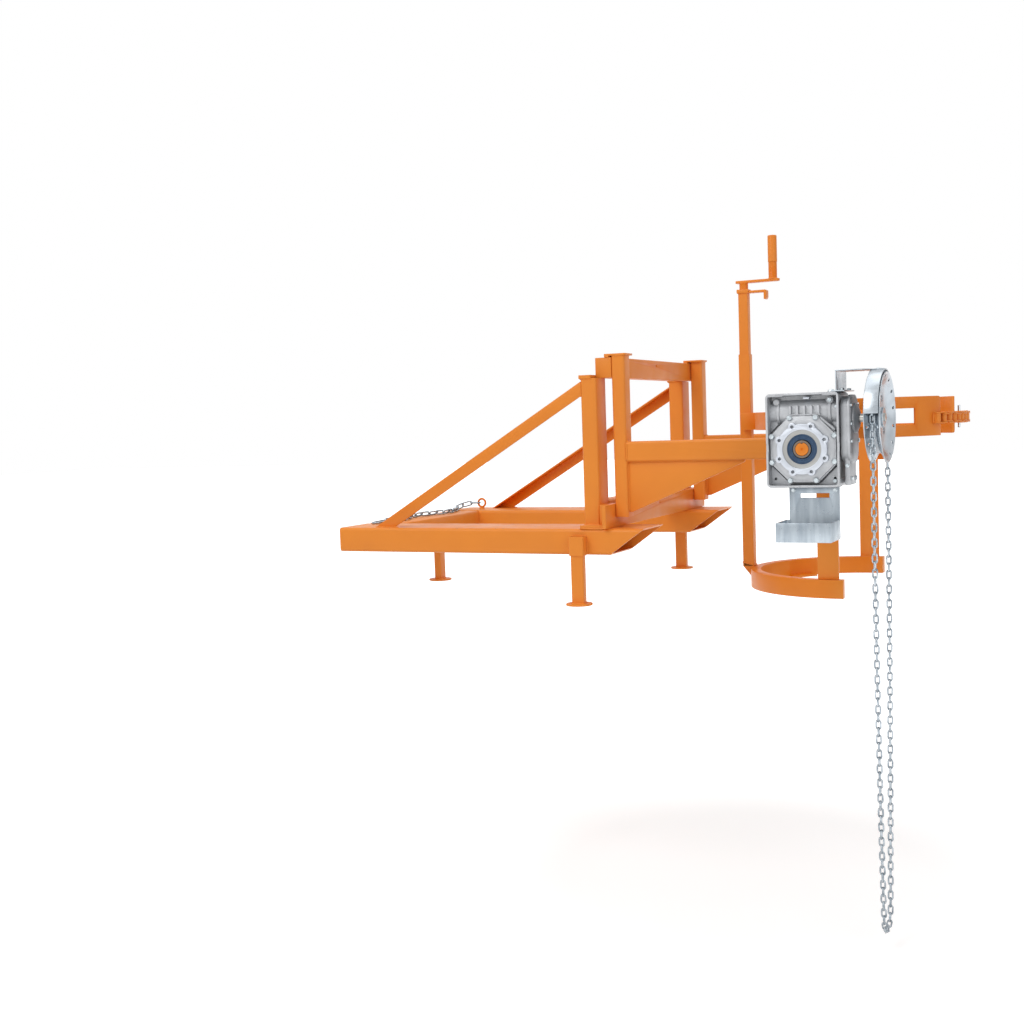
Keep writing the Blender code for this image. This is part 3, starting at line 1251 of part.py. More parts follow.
def crank():
    """The screw, the crank arm with its boss and pin, and the loose grip."""
    collar_top = INNER_TOP + COLLAR_THICK
    profile = [
        (0.0, SCREW_BOTTOM), (SCREW_RADIUS - 0.002, SCREW_BOTTOM), (SCREW_RADIUS, SCREW_BOTTOM + 0.003),
        (SCREW_RADIUS, CRANK_Z - GAP), (0.0, CRANK_Z - GAP),
    ]
    turned("screw", profile, upright(MAST_X, 0.0, 0.0), STEEL, 16)
    half = CRANK_WIDTH / 2
    tip = CRANK_RADIUS + CRANK_TIP
    tail = 0.3 * half - CRANK_TAIL
    outline = [(tail, -half), (tip, -half)]
    for degrees in range(30, 180, 30):
        angle = math.radians(degrees)
        outline.append((tip + half * math.sin(angle), -half * math.cos(angle)))
    outline += [(tip, half), (tail, half), (-CRANK_TAIL, half * 0.6), (-CRANK_TAIL, -half * 0.6)]
    arm_bar = prism("crank_arm", outline, CRANK_THICK, upright(MAST_X, 0.0, CRANK_Z))
    bore = SCREW_RADIUS + GAP
    join(arm_bar, turned("hub", [
        (bore, collar_top + GAP), (SCREW_COLLAR, collar_top + GAP), (SCREW_COLLAR, CRANK_Z + 0.001),
        (0.0, CRANK_Z + 0.001), (0.0, CRANK_Z), (bore, CRANK_Z),
    ], upright(MAST_X, 0.0, 0.0), steps=16))
    grip_x = MAST_X + CRANK_RADIUS
    top = CRANK_Z + CRANK_THICK
    boss_top = top + BOSS_HEIGHT
    profile = [
        (0.0, top - 0.001), (GRIP_RADIUS - 0.001, top - 0.001), (GRIP_RADIUS - 0.001, boss_top),
        (PIN_RADIUS, boss_top), (PIN_RADIUS, boss_top + GRIP_LENGTH - 0.004),
        (0.0, boss_top + GRIP_LENGTH - 0.004),
    ]
    join(arm_bar, turned("boss", profile, upright(grip_x, 0.0, 0.0), steps=20))
    low = boss_top + GAP
    high = boss_top + GRIP_LENGTH
    shell = [
        (PIN_RADIUS + RUN, low), (GRIP_RADIUS, low), (GRIP_RADIUS, high - 0.002),
        (GRIP_RADIUS - 0.002, high), (0.0, high), (0.0, high - 0.003), (PIN_RADIUS + RUN, high - 0.003),
    ]
    turned("grip_sleeve", shell, upright(grip_x, 0.0, 0.0), steps=20)


def skin_frame(point):
    """A frame at a point of the chain: X along the pull, Y away from the drum."""
    out = Vector((point.x - DRUM_X, point.y, 0.0)).normalized()
    along = Vector((-out.y, out.x, 0.0))
    turn = Matrix((along, out, Vector((0.0, 0.0, -1.0)))).transposed().to_4x4()
    return Matrix.Translation(point) @ turn


def link_step():
    """Degrees between two chain pins on the drum."""
    return math.degrees(2 * math.asin(LINK_PITCH / 2 / LINK_RADIUS))


def moving_links():
    """How many links swing: as many as leave room for the hook bolt before its lug."""
    room = LUG_DEG - math.degrees(math.atan2(HOOK_BOLT_LEAST, LINK_RADIUS)) - ROOT_DEG
    return int(room / link_step()) - 1


def link_plate(shape, start, end, low, high):
    """Adds one link plate, round at both pins, to a bmesh."""
    along = (end - start).normalized()
    across = Vector((-along.y, along.x, 0.0))
    outline = []
    for centre, first in ((end, -90), (start, 90)):
        for step in range(5):
            angle = math.radians(first + 45 * step)
            outline.append(centre + LINK_HALF * (along * math.cos(angle) + across * math.sin(angle)))
    lower = [shape.verts.new((p.x, p.y, low)) for p in outline]
    upper = [shape.verts.new((p.x, p.y, high)) for p in outline]
    shape.faces.new(lower[::-1])
    shape.faces.new(upper)
    for i in range(len(outline)):
        j = (i + 1) % len(outline)
        shape.faces.new((lower[i], lower[j], upper[j], upper[i]))


def round_bar(shape, centre, radius, half, sides=10):
    """Adds an upright round bar to a bmesh."""
    bmesh.ops.create_cone(
        shape, cap_ends=True, segments=sides, radius1=radius, radius2=radius, depth=2 * half,
        matrix=Matrix.Translation((centre.x, centre.y, CHAIN_Z)),
    )


def clamp_chain():
    """The roller chain that closes round the drum: a welded root and the swinging run."""
    step = link_step()
    count = moving_links()
    pins = [on_drum(LINK_RADIUS, ROOT_DEG + step * k, CHAIN_Z) for k in range(count + 2)]
    inner_low = ROLLER_HALF
    inner_high = ROLLER_HALF + PLATE_THICK
    outer_low = inner_high + GAP
    outer_high = outer_low + PLATE_THICK

    root_plates = bmesh.new()
    for sign in (-1, 1):
        limits = sorted((CHAIN_Z + sign * outer_low, CHAIN_Z + sign * outer_high))
        link_plate(root_plates, pins[0], pins[1], *limits)
    root_pins = bmesh.new()
    round_bar(root_pins, pins[0], ROLLER_RADIUS, outer_high - 0.0005)
    round_bar(root_pins, pins[1], LINK_PIN, outer_high + 0.0015)
    root = join(add_piece("chain_root", root_plates), add_piece("pins", root_pins))
    shoe_low = BAND_OUTER + 0.0008 - LINK_RADIUS
    shoe = block("shoe", (-ROOT_SHOE, shoe_low, -outer_high), (ROOT_SHOE / 2, 0.0, outer_high))
    shoe.data.transform(skin_frame(pins[0]))
    join(root, shoe)

    plates = [bmesh.new(), bmesh.new()]
    rollers = bmesh.new()
    bars = bmesh.new()
    for k in range(1, count + 1):
        inside = k % 2 == 1
        low, high = (inner_low, inner_high) if inside else (outer_low, outer_high)
        for sign in (-1, 1):
            limits = sorted((CHAIN_Z + sign * low, CHAIN_Z + sign * high))
            link_plate(plates[k % 2], pins[k], pins[k + 1], *limits)
    for k in range(1, count + 2):
        round_bar(rollers, pins[k], ROLLER_RADIUS, ROLLER_HALF + 0.0004)
        if k > 1:
            reach = outer_high + 0.0015 if k <= count else inner_high + 0.0005
            round_bar(bars, pins[k], LINK_PIN, reach, 8)
    run = add_piece("clamp_chain", plates[1])
    join(run, [add_piece("rollers", rollers), add_piece("bars", bars)])
    join(run, add_piece("outer_plates", plates[0]))
    return cut(run, drill(pins[1].x, pins[1].y, CHAIN_Z, LINK_PIN + RUN, 0.06))


def tension_layout():
    """The frame at the last chain pin, where the hook bolt pulls, and how far off its lug stands."""
    degrees = ROOT_DEG + link_step() * (moving_links() + 1)
    reach = LINK_RADIUS * math.tan(math.radians(LUG_DEG - degrees))
    return skin_frame(on_drum(LINK_RADIUS, degrees, CHAIN_Z)), reach


def tension_parts():
    """The hook bolt that pulls the chain tight, its lug on the left plate and the T-handle."""
    frame, lug_middle = tension_layout()
    lug_from, lug_to = lug_middle - LUG_THICK / 2, lug_middle + LUG_THICK / 2
    handle = lug_to + T_STANDOFF
    hook_half = 0.006
    hook = prism("hook_bolt", [
        (-0.014, -0.0115), (0.012, -0.0115), (0.018, -0.006), (0.034, -0.006), (0.034, 0.006),
        (0.010, 0.006), (0.0092, -0.0085), (-0.0092, -0.0085), (-0.0092, -0.001), (-0.014, -0.001),
    ], 2 * hook_half, frame @ Matrix.Translation((0, 0, -hook_half)), STEEL)
    turn = frame @ Matrix.Rotation(math.pi / 2, 4, "Y")
    rod = turned("rod", disc(TENSION_ROD, ROD_FROM, handle + 0.020), turn, steps=12)
    join(hook, rod)

    tall = LUG_HALF_HEIGHT
    lug = block("tension_lug", (lug_from, -0.060, -tall), (lug_to, 0.015, tall))
    lug.data.transform(frame)
    body = turned("body", disc(BAND_OUTER + GAP, CHAIN_Z - 0.05, CHAIN_Z + 0.05),
                  upright(DRUM_X, 0, 0), steps=180)
    bore = turned("bore", disc(TENSION_ROD + RUN, lug_from - 0.01, lug_to + 0.01), turn, steps=12)
    cut(lug, [body, bore])

    hub = turned("t_handle", disc(T_HUB_RADIUS, lug_to + GAP, handle + 0.008), turn, ZINC, 12)
    cross = turned("cross", disc(T_BAR_RADIUS, -T_BAR_HALF, T_BAR_HALF),
                   frame @ Matrix.Translation((handle, 0, 0)), ZINC, 10)
    join(hub, cross)
    cut(hub, turned("bore", disc(TENSION_ROD + RUN, lug_to - 0.01, handle + 0.03), turn, steps=12))


def main():
    clear_scene()
    for word, side in SIDES:
        pocket(word, side)
        column(word, side)
        brace(word, side)
        front_upright(word, side)
        arm(word, side)
        gusset(word, side)
        front_leg(word, side)
        side_plate(word, side)
        strap(word, side)
    rear_cross_member()
    top_beam()
    lower_bar()
    tie_beam()
    rear_leg()
    tether_eye()
    tether_chain()
    end_plate("gearbox_plate", -1, GEAR_PLATE_HALF, GEAR_PLATE_BORE)
    end_plate("bearing_plate", 1, BEARING_PLATE_HALF, BEARING_PLATE_BORE)
    gear_housing()
    gear_cover()
    output_parts()
    first_stage()
    hand_wheel()
    hand_chain()
    chain_guard()
    chain_tray()
    flange_bearing()
    belly_band()
    bottom_ring()
    shafts()
    mast()
    inner_mast()
    crank()
    clamp_chain()
    tension_parts()


main()
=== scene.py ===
"""Looks of a fork-mounted drum tipper: painted steel frame, cast worm gearbox, chains and cradle.

Metres, X forward, Y to the left, Z up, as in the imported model.
"""

import logging
import math
from collections.abc import Iterable, Sequence
from dataclasses import dataclass, field
from enum import Enum

import bmesh
import bpy
from bmesh.types import BMEdge, BMesh, BMVert
from bpy.types import Material, Mesh, Node, NodeSocket, NodeTree, Object
from mathutils import Matrix, Vector


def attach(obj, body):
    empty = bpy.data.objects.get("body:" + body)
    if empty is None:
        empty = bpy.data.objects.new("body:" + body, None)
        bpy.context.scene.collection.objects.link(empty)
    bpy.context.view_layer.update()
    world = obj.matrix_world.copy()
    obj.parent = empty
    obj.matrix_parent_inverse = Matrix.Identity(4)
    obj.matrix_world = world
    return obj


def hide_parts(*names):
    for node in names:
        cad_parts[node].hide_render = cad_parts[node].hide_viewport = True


log = logging.getLogger("drum_tipper")

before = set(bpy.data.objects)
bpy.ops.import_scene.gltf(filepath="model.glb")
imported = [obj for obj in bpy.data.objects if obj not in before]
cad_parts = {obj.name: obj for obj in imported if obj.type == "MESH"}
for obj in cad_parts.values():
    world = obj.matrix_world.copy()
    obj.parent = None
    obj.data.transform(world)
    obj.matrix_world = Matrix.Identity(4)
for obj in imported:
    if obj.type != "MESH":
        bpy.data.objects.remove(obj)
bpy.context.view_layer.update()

Pair = tuple[float, float]
Pairs = Sequence[Pair]
Point = Sequence[float]

DRUM_X = 1.575
PIVOT = Vector((1.537, 0.0, 0.302))
WHEEL = Vector((1.729, -0.478, 0.380))
GAP = 0.0003  # between pieces that lie on each other
BEARING_FACE = 0.4106  # where the bearing unit stands on the left arm's plate
SIDES = (("right", -1), ("left", 1))


class Axis(Enum):
    """The direction that a piece's own Z is laid along. FRONT is -Y, with X kept and the piece's Y upwards."""

    X = "X"
    Y = "Y"
    Z = "Z"
    FRONT = "-Y"

    def place(self, point: Point) -> Matrix:
        """Gives the matrix that lays +Z in this direction and moves the origin to a point.

        Args:
            point: Where the piece's origin goes.

        Returns:
            The matrix.
        """
        turn = {
            Axis.X: Matrix.Rotation(math.pi / 2, 4, "Y"),
            Axis.Y: Matrix.Rotation(-math.pi / 2, 4, "X"),
            Axis.Z: Matrix.Identity(4),
            Axis.FRONT: Matrix.Rotation(math.pi / 2, 4, "X"),
        }[self]
        return Matrix.Translation(point) @ turn


# Materials


def linear(code: str) -> tuple[float, float, float, float]:
    """Turns an sRGB hex colour into linear light.

    Args:
        code: Six hex digits after a hash.

    Returns:
        Red, green, blue and an alpha of 1.
    """
    parts = [int(code[i:i + 2], 16) / 255 for i in (1, 3, 5)]
    red, green, blue = (p / 12.92 if p <= 0.04045 else ((p + 0.055) / 1.055) ** 2.4 for p in parts)
    return red, green, blue, 1.0


def add_node(
    tree: NodeTree, kind: str, values: dict | None = None, links: dict | None = None, **settings,
) -> Node:
    """Adds a node with its settings, its socket values and its links.

    Args:
        tree: The material's node tree.
        kind: The node's type, without the ShaderNode in front.
        values: Input socket name or number to value.
        links: Input socket name or number to the output socket that feeds it.
        settings: Properties of the node itself.

    Returns:
        The new node.
    """
    node = tree.nodes.new("ShaderNode" + kind)
    for name, value in settings.items():
        setattr(node, name, value)
    for name, value in (values or {}).items():
        node.inputs[name].default_value = value
    for name, source in (links or {}).items():
        tree.links.new(source, node.inputs[name])
    return node


def ramp(
    tree: NodeTree, source: NodeSocket, stops: Pairs,
) -> NodeSocket:
    """Maps a number to another between stops.

    Args:
        tree: The material's node tree.
        source: The number that is mapped.
        stops: Pairs of position and grey value.

    Returns:
        The mapped socket.
    """
    node = add_node(tree, "ValToRGB", links={0: source})
    for index, (place, value) in enumerate(stops):
        element = node.color_ramp.elements[index] if index < 2 else node.color_ramp.elements.new(place)
        element.position = place
        element.color = (value, value, value, 1.0)
    return node.outputs[0]


def tint(
    tree: NodeTree, share: NodeSocket, low: object, high: object,
) -> NodeSocket:
    """Mixes two colours, each a tuple or a socket, by a share.

    Args:
        tree: The material's node tree.
        share: How much of the second colour shows, from 0 to 1.
        low: The first colour.
        high: The second colour.

    Returns:
        The mixed colour.
    """
    mix = add_node(tree, "Mix", data_type="RGBA", links={0: share})
    for number, colour in ((6, low), (7, high)):
        if isinstance(colour, tuple):
            mix.inputs[number].default_value = colour
        else:
            tree.links.new(colour, mix.inputs[number])
    return mix.outputs[2]


def blank_material(name: str) -> tuple[Material, NodeTree, Node, NodeSocket]:
    """Starts a material.

    Args:
        name: The material's name.

    Returns:
        The material, its tree, its shader and the object coordinates.
    """
    made = bpy.data.materials.new(name)
    made.use_nodes = True
    tree = made.node_tree
    shader = tree.nodes["Principled BSDF"]
    place = add_node(tree, "TexCoord").outputs["Object"]
    return made, tree, shader, place


def grain(
    tree: NodeTree, place: NodeSocket, size: float, detail: float = 3.0,
) -> NodeSocket:
    """Noise whose blotches are about a real size across.

    Args:
        tree: The material's node tree.
        place: The coordinates.
        size: Across one blotch, in metres.
        detail: Octaves of finer noise.

    Returns:
        The noise, from 0 to 1.
    """
    noise = add_node(tree, "TexNoise", {"Scale": 0.6 / size, "Detail": detail}, {"Vector": place})
    return noise.outputs[0]


def relief(
    tree: NodeTree, shader: Node, height: NodeSocket, depth: float, strength: float,
) -> None:
    """Bumps a shader's surface.

    Args:
        tree: The material's node tree.
        shader: The shader that is bumped.
        height: The height map, from 0 to 1.
        depth: Metres between its lowest and highest point.
        strength: How strongly it shows.
    """
    bump = add_node(tree, "Bump", {"Distance": depth, "Strength": strength}, {"Height": height})
    tree.links.new(bump.outputs[0], shader.inputs["Normal"])


@dataclass(frozen=True)
class Enamel:
    """Semi-gloss alkyd enamel sprayed over welded steel: a soft sheen with a fine orange peel."""

    name: str = "orange_enamel"
    slot: str = "orange_paint"
    colour: str = "#E97C0A"
    deep: str = "#DD7006"
    pale: str = "#EE9A45"
    bare: str = "#8C8378"
    peel: float = 0.0016
    scuff: float = 0.0

    def material(self) -> Material:
        """Makes the paint: cloudy coat thickness, pale rubbed edges, peel, and scuffs where forks and chains rub."""
        made, tree, shader, place = blank_material(self.name)
        cloud = ramp(tree, grain(tree, place, 0.09), [(0.35, 0.0), (0.68, 1.0)])
        coat = tint(tree, cloud, linear(self.deep), linear(self.colour))
        edge = add_node(tree, "NewGeometry").outputs["Pointiness"]
        worn = ramp(tree, edge, [(0.515, 0.0), (0.56, 0.55)])
        coat = tint(tree, worn, coat, linear(self.pale))
        if self.scuff > 0:
            # Scratches about 4 mm wide and 33 mm long, in patches, only on faces that look up
            long = add_node(tree, "Mapping", {"Scale": (1.0, 0.12, 1.0)}, {"Vector": place}).outputs[0]
            scratch = ramp(tree, grain(tree, long, 0.004, 4.0), [(0.60, 0.0), (0.70, self.scuff)])
            patch = ramp(tree, grain(tree, place, 0.12), [(0.48, 0.0), (0.62, 1.0)])
            facing = add_node(tree, "NewGeometry").outputs["Normal"]
            rise = add_node(tree, "SeparateXYZ", links={0: facing}).outputs["Z"]
            upward = ramp(tree, rise, [(0.7, 0.0), (0.9, 1.0)])
            where = add_node(tree, "Math", links={0: patch, 1: upward}, operation="MULTIPLY").outputs[0]
            rubbed = add_node(tree, "Math", links={0: scratch, 1: where}, operation="MULTIPLY").outputs[0]
            coat = tint(tree, rubbed, coat, linear(self.bare))
        tree.links.new(coat, shader.inputs["Base Color"])
        sheen = ramp(tree, grain(tree, place, 0.03), [(0.3, 0.33), (0.7, 0.45)])
        tree.links.new(sheen, shader.inputs["Roughness"])
        shader.inputs["Specular IOR Level"].default_value = 0.25
        relief(tree, shader, grain(tree, place, self.peel, 2.0), 0.00025, 0.12)
        return made


@dataclass(frozen=True)
class Galvanised:
    """Bright zinc on sheet, links and wheel: a pale metal with faint clouds and a fine draw grain."""

    name: str = "bright_zinc"
    slot: str = "zinc_plate"
    colour: str = "#C6CCD0"
    dark: str = "#B2BAC0"
    cloud: float = 0.012
    gloss: Pair = (0.26, 0.42)
    run: float = 1.0

    def material(self) -> Material:
        """Makes the zinc: blotches in value and in gloss."""
        made, tree, shader, place = blank_material(self.name)
        shader.inputs["Metallic"].default_value = 1.0
        drawn = add_node(tree, "Mapping", {"Scale": (1.0, 1.0, self.run)}, {"Vector": place}).outputs[0]
        blotch = ramp(tree, grain(tree, drawn, self.cloud, 4.0), [(0.35, 0.0), (0.65, 1.0)])
        tree.links.new(tint(tree, blotch, linear(self.dark), linear(self.colour)), shader.inputs["Base Color"])
        low, high = self.gloss
        gloss = ramp(tree, grain(tree, place, self.cloud / 2), [(0.3, low), (0.7, high)])
        tree.links.new(gloss, shader.inputs["Roughness"])
        relief(tree, shader, grain(tree, place, 0.0012), 0.0001, 0.10)
        return made


@dataclass(frozen=True)
class SandCast:
    """Die-cast aluminium, blasted and left bare: a dull grey skin with a fine sandy tooth."""

    name: str = "cast_aluminium_skin"
    slot: str = "cast_aluminium"
    colour: str = "#BFC1C4"
    dark: str = "#A9ABAE"
    grit: float = 0.0014

    def material(self) -> Material:
        """Makes the casting: sandy relief and grey clouds, with painted shade darkening its corners and recesses."""
        made, tree, shader, place = blank_material(self.name)
        shader.inputs["Metallic"].default_value = 0.75
        cloud = ramp(tree, grain(tree, place, 0.025, 4.0), [(0.3, 0.0), (0.7, 1.0)])
        skin = tint(tree, cloud, linear(self.dark), linear(self.colour))
        # Painted shade: where pointiness is low, in concave corners and recesses, the grey is mixed towards a dark
        # grey
        edge = add_node(tree, "NewGeometry").outputs["Pointiness"]
        corner = ramp(tree, edge, [(0.42, 1.0), (0.495, 0.0)])
        tree.links.new(tint(tree, corner, skin, linear("#6E6F6E")), shader.inputs["Base Color"])
        rough = ramp(tree, grain(tree, place, self.grit), [(0.3, 0.48), (0.7, 0.66)])
        tree.links.new(rough, shader.inputs["Roughness"])
        relief(tree, shader, grain(tree, place, self.grit, 3.0), 0.0004, 0.35)
        return made


@dataclass(frozen=True)
class Turned:
    """Lathe-turned metal: rings of tool marks about its own axis that spread the highlight."""

    name: str
    slot: str
    colour: str
    axis: Axis
    centre: tuple[float, float, float]
    groove: float = 0.0012
    rough: Pair = (0.24, 0.36)

    def material(self) -> Material:
        """Makes the metal: rings by a wave about the axis, a little noise in the gloss."""
        made, tree, shader, place = blank_material(self.name)
        shader.inputs["Metallic"].default_value = 1.0
        shift = add_node(tree, "Mapping", {"Location": [-c for c in self.centre]}, {"Vector": place}).outputs[0]
        rings = add_node(
            tree, "TexWave", {"Scale": 0.3 / self.groove, "Distortion": 0.3}, {"Vector": shift},
            wave_type="RINGS", rings_direction=self.axis.value,
        ).outputs[1]
        base = linear(self.colour)
        darker = tuple(0.86 * c for c in base[:3]) + (1.0,)
        tree.links.new(tint(tree, rings, darker, base), shader.inputs["Base Color"])
        low, high = self.rough
        tree.links.new(ramp(tree, grain(tree, place, 0.01), [(0.3, low), (0.7, high)]), shader.inputs["Roughness"])
        relief(tree, shader, rings, 0.00008, 0.25)
        return made


@dataclass(frozen=True)
class Rubber:
    """Moulded nitrile rubber of a shaft seal: matt, with a faint bloom."""

    name: str = "nitrile_rubber"
    slot: str = "blue_rubber"
    colour: str = "#263F5C"
    bloom: str = "#324D6B"

    def material(self) -> Material:
        """Makes the rubber: a bloom over a plain colour and a fine pebble."""
        made, tree, shader, place = blank_material(self.name)
        dust = ramp(tree, grain(tree, place, 0.008), [(0.4, 0.0), (0.7, 1.0)])
        tree.links.new(tint(tree, dust, linear(self.colour), linear(self.bloom)), shader.inputs["Base Color"])
        shader.inputs["Roughness"].default_value = 0.6
        relief(tree, shader, grain(tree, place, 0.0008), 0.0001, 0.2)
        return made


ENAMEL = Enamel()
# The same paint, with grey scratches where forks and the tether chain rub the tops of the pockets
POCKET_ENAMEL = Enamel(name="rubbed_orange_enamel", scuff=0.7)
# Sheet dipped in molten zinc: soft streaks that run down it
TRAY_ZINC = Galvanised(name="dipped_sheet", colour="#AEB7BE", dark="#939DA6", cloud=0.010, run=0.12)
# Electroplated sheet: wide faint clouds and a clear highlight
SHEET_ZINC = Galvanised(name="plated_sheet", colour="#B9C0C6", dark="#A5ADB4", cloud=0.020, gloss=(0.26, 0.38))
# Plated wire: small patches and a bright spot on each bend
LINK_ZINC = Galvanised(name="plated_links", colour="#B6BDC3", dark="#808A92", cloud=0.006, gloss=(0.20, 0.32))
# Plated bolts: small bright heads against the dull casting
BOLT_ZINC = Galvanised(name="plated_bolts", colour="#D0D8DC", dark="#AAB3B8", cloud=0.004, gloss=(0.24, 0.34))
CASTING = SandCast()
# Faced on a lathe: a bright ring on the dull casting, and a darker, duller copy of the same faced metal on the face
# sunk inside it, painted shade in the recess
FACED = Turned("faced_flange", "cast_aluminium", "#C3C8D0", Axis.Y, tuple(PIVOT), 0.0010, (0.34, 0.46))
SHADED_FLOOR_FACED = Turned("faced_cover_floor_painted_shade", "cast_aluminium", "#A3A3A1", Axis.Y, tuple(PIVOT), 0.0012, (0.42, 0.55))
# Bare turned steel: fine rings that spread the highlight, brown where oil has dried on it
SHAFT_STEEL = Turned("turned_shaft_steel", "machined_steel", "#B9B7B2", Axis.X, tuple(WHEEL))
OILED_STEEL = Turned("oiled_shaft_steel", "machined_steel", "#7A6E64", Axis.Y, tuple(PIVOT), 0.0010, (0.35, 0.5))
SCREW_STEEL = Turned("rolled_screw_steel", "machined_steel", "#A6A39C", Axis.Z, (1.234, 0.0, 0.0))
ROD_STEEL = Turned("drawn_rod_steel", "machined_steel", "#8E8B86", Axis.Z, (1.85, 0.1, 0.372))
WORM_STEEL = Turned("ground_worm_steel", "machined_steel", "#B4B2AE", Axis.X, (1.537, -0.4776, 0.392))
# Bronze of the hidden worm wheel: warm and yellow beside the steel
BRONZE = Turned("gear_bronze", "worm_bronze", "#B58A4A", Axis.Y, tuple(PIVOT))
NITRILE = Rubber()
Finish = Enamel | Galvanised | SandCast | Turned | Rubber


class Wardrobe:
    """Makes each finish once and dresses pieces and nodes in it."""

    def __init__(self) -> None:
        """Starts with no materials made."""
        self.made: dict[str, Material] = {}

    def material(self, finish: Finish) -> Material:
        """Gives a finish's material, made on first use.

        Args:
            finish: The finish.

        Returns:
            Its material.
        """
        if finish.name not in self.made:
            self.made[finish.name] = finish.material()
        return self.made[finish.name]

    def dress(self, piece: Object, finish: Finish) -> None:
        """Puts one finish on every slot of an object.

        Args:
            piece: The object.
            finish: The finish.
        """
        made = self.material(finish)
        if not piece.data.materials:
            piece.data.materials.append(made)
        for slot in piece.material_slots:
            slot.material = made


WARDROBE = Wardrobe()


# Making pieces


def add_piece(
    name: str, shape: BMesh, finish: Finish, body: str, replaces: Iterable[str] = (), crease: float = 35.0,
) -> Object:
    """Makes a bmesh an object at the origin that rides on a body.

    Args:
        name: The piece's name.
        shape: The mesh, already in its place.
        finish: What it is made of.
        body: The body that it rides on.
        replaces: CAD nodes that it stands for.
        crease: Edges sharper than this many degrees stay sharp.

    Returns:
        The object.
    """
    bmesh.ops.remove_doubles(shape, verts=shape.verts, dist=1e-6)
    bmesh.ops.recalc_face_normals(shape, faces=shape.faces)
    mesh = bpy.data.meshes.new(name)
    shape.to_mesh(mesh)
    shape.free()
    for face in mesh.polygons:
        face.use_smooth = True
    mesh.set_sharp_from_angle(angle=math.radians(crease))
    piece = bpy.data.objects.new(name, mesh)
    bpy.context.scene.collection.objects.link(piece)
    WARDROBE.dress(piece, finish)
    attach(piece, body)
    nodes = list(replaces)
    if nodes:
        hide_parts(*nodes)
    log.info("%s: %d faces on %s", name, len(mesh.polygons), body)
    return piece


def node_copy(node: str) -> BMesh:
    """Copies a CAD node's mesh with its triangles merged back into flat faces.

    Args:
        node: The node's name.

    Returns:
        The merged copy.
    """
    shape = bmesh.new()
    shape.from_mesh(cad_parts[node].data)
    bmesh.ops.remove_doubles(shape, verts=shape.verts, dist=2e-5)
    bmesh.ops.dissolve_limit(
        shape, angle_limit=math.radians(0.6), verts=shape.verts, edges=shape.edges, use_dissolve_boundaries=False,
    )
    return shape


def kind_of(items: Iterable, kind: type) -> list:
    """Picks one kind of element out of what a bmesh operator gives back."""
    return [item for item in items if isinstance(item, kind)]


def round_off(shape: BMesh, edges: Sequence[BMEdge], width: float, steps: int) -> None:
    """Rounds edges of a mesh.

    Args:
        shape: The mesh.
        edges: The edges.
        width: How far back from the edge the rounding starts.
        steps: Faces across the rounding.
    """
    bmesh.ops.bevel(
        shape, geom=edges, offset=width, offset_type="OFFSET", affect="EDGES", segments=steps, profile=0.5,
        clamp_overlap=True, material=-1,
    )


def ease_edges(shape: BMesh, width: float, over: float = 30.0) -> None:
    """Rounds the sharp edges of a mesh a little.

    Args:
        shape: The mesh.
        width: How far back from the edge the rounding starts.
        over: Only edges that turn by more than this many degrees.
    """
    limit = math.radians(over)
    round_off(shape, [e for e in shape.edges if e.is_manifold and e.calc_face_angle(0.0) > limit], width, 2)


def stand_in(node: str, shape: BMesh, finish: Finish, body: str, crease: float = 35.0) -> Object:
    """Makes a mesh the piece that stands in for one CAD node.

    Args:
        node: The node's name.
        shape: The mesh, already in its place.
        finish: What it is made of.
        body: The body that it rides on.
        crease: Edges sharper than this many degrees stay sharp.

    Returns:
        The piece.
    """
    return add_piece(node + "_skin", shape, finish, body, [node], crease)


def refine(node: str, finish: Finish, body: str, width: float) -> Object:
    """Stands a copy with eased edges in for a CAD node.

    Args:
        node: The node's name.
        finish: What it is made of.
        body: Its body.
        width: The rounding of its edges.

    Returns:
        The piece.
    """
    shape = node_copy(node)
    if width > 0:
        ease_edges(shape, width)
    return stand_in(node, shape, finish, body)


def block(low: Point, high: Point, along: int | None = None, corner: float = 0.0, steps: int = 1) -> BMesh:
    """Makes a block, with its edges along one axis rounded.

    Args:
        low: Its lowest corner.
        high: Its highest corner.
        along: The axis whose edges are rounded: 0, 1 or 2.
        corner: The radius of the rounding.
        steps: Faces across the rounding.

    Returns:
        The block's mesh.
    """
    shape = bmesh.new()
    middle = (Vector(low) + Vector(high)) / 2
    size = Vector(high) - Vector(low)
    bmesh.ops.create_cube(shape, size=1.0, matrix=Matrix.Translation(middle) @ Matrix.Diagonal((*size, 1.0)))
    if along is not None:
        runs = [e for e in shape.edges if abs((e.verts[0].co - e.verts[1].co)[along]) > 0.5 * size[along]]
        round_off(shape, runs, corner, steps)
    return shape


def spun(profile: Pairs, place: Matrix, steps: int = 64) -> BMesh:
    """Turns a closed profile of radius and height about Z, then places it.

    Args:
        profile: Radius and height of each corner.
        place: The matrix that lays it in its place.
        steps: Facets round the turn.

    Returns:
        The turned mesh.
    """
    shape = bmesh.new()
    corners = [shape.verts.new((radius, 0.0, height)) for radius, height in profile]
    pairs = zip(corners, corners[1:] + corners[:1])
    rim = [shape.edges.new(pair) for pair in pairs if max(abs(v.co.x) for v in pair) > 0]
    bmesh.ops.spin(
        shape, geom=corners + rim, axis=(0, 0, 1), cent=(0, 0, 0), angle=math.tau, steps=steps, use_merge=True,
    )
    bmesh.ops.remove_doubles(shape, verts=shape.verts, dist=1e-6)
    bmesh.ops.transform(shape, matrix=place, verts=shape.verts)
    return shape


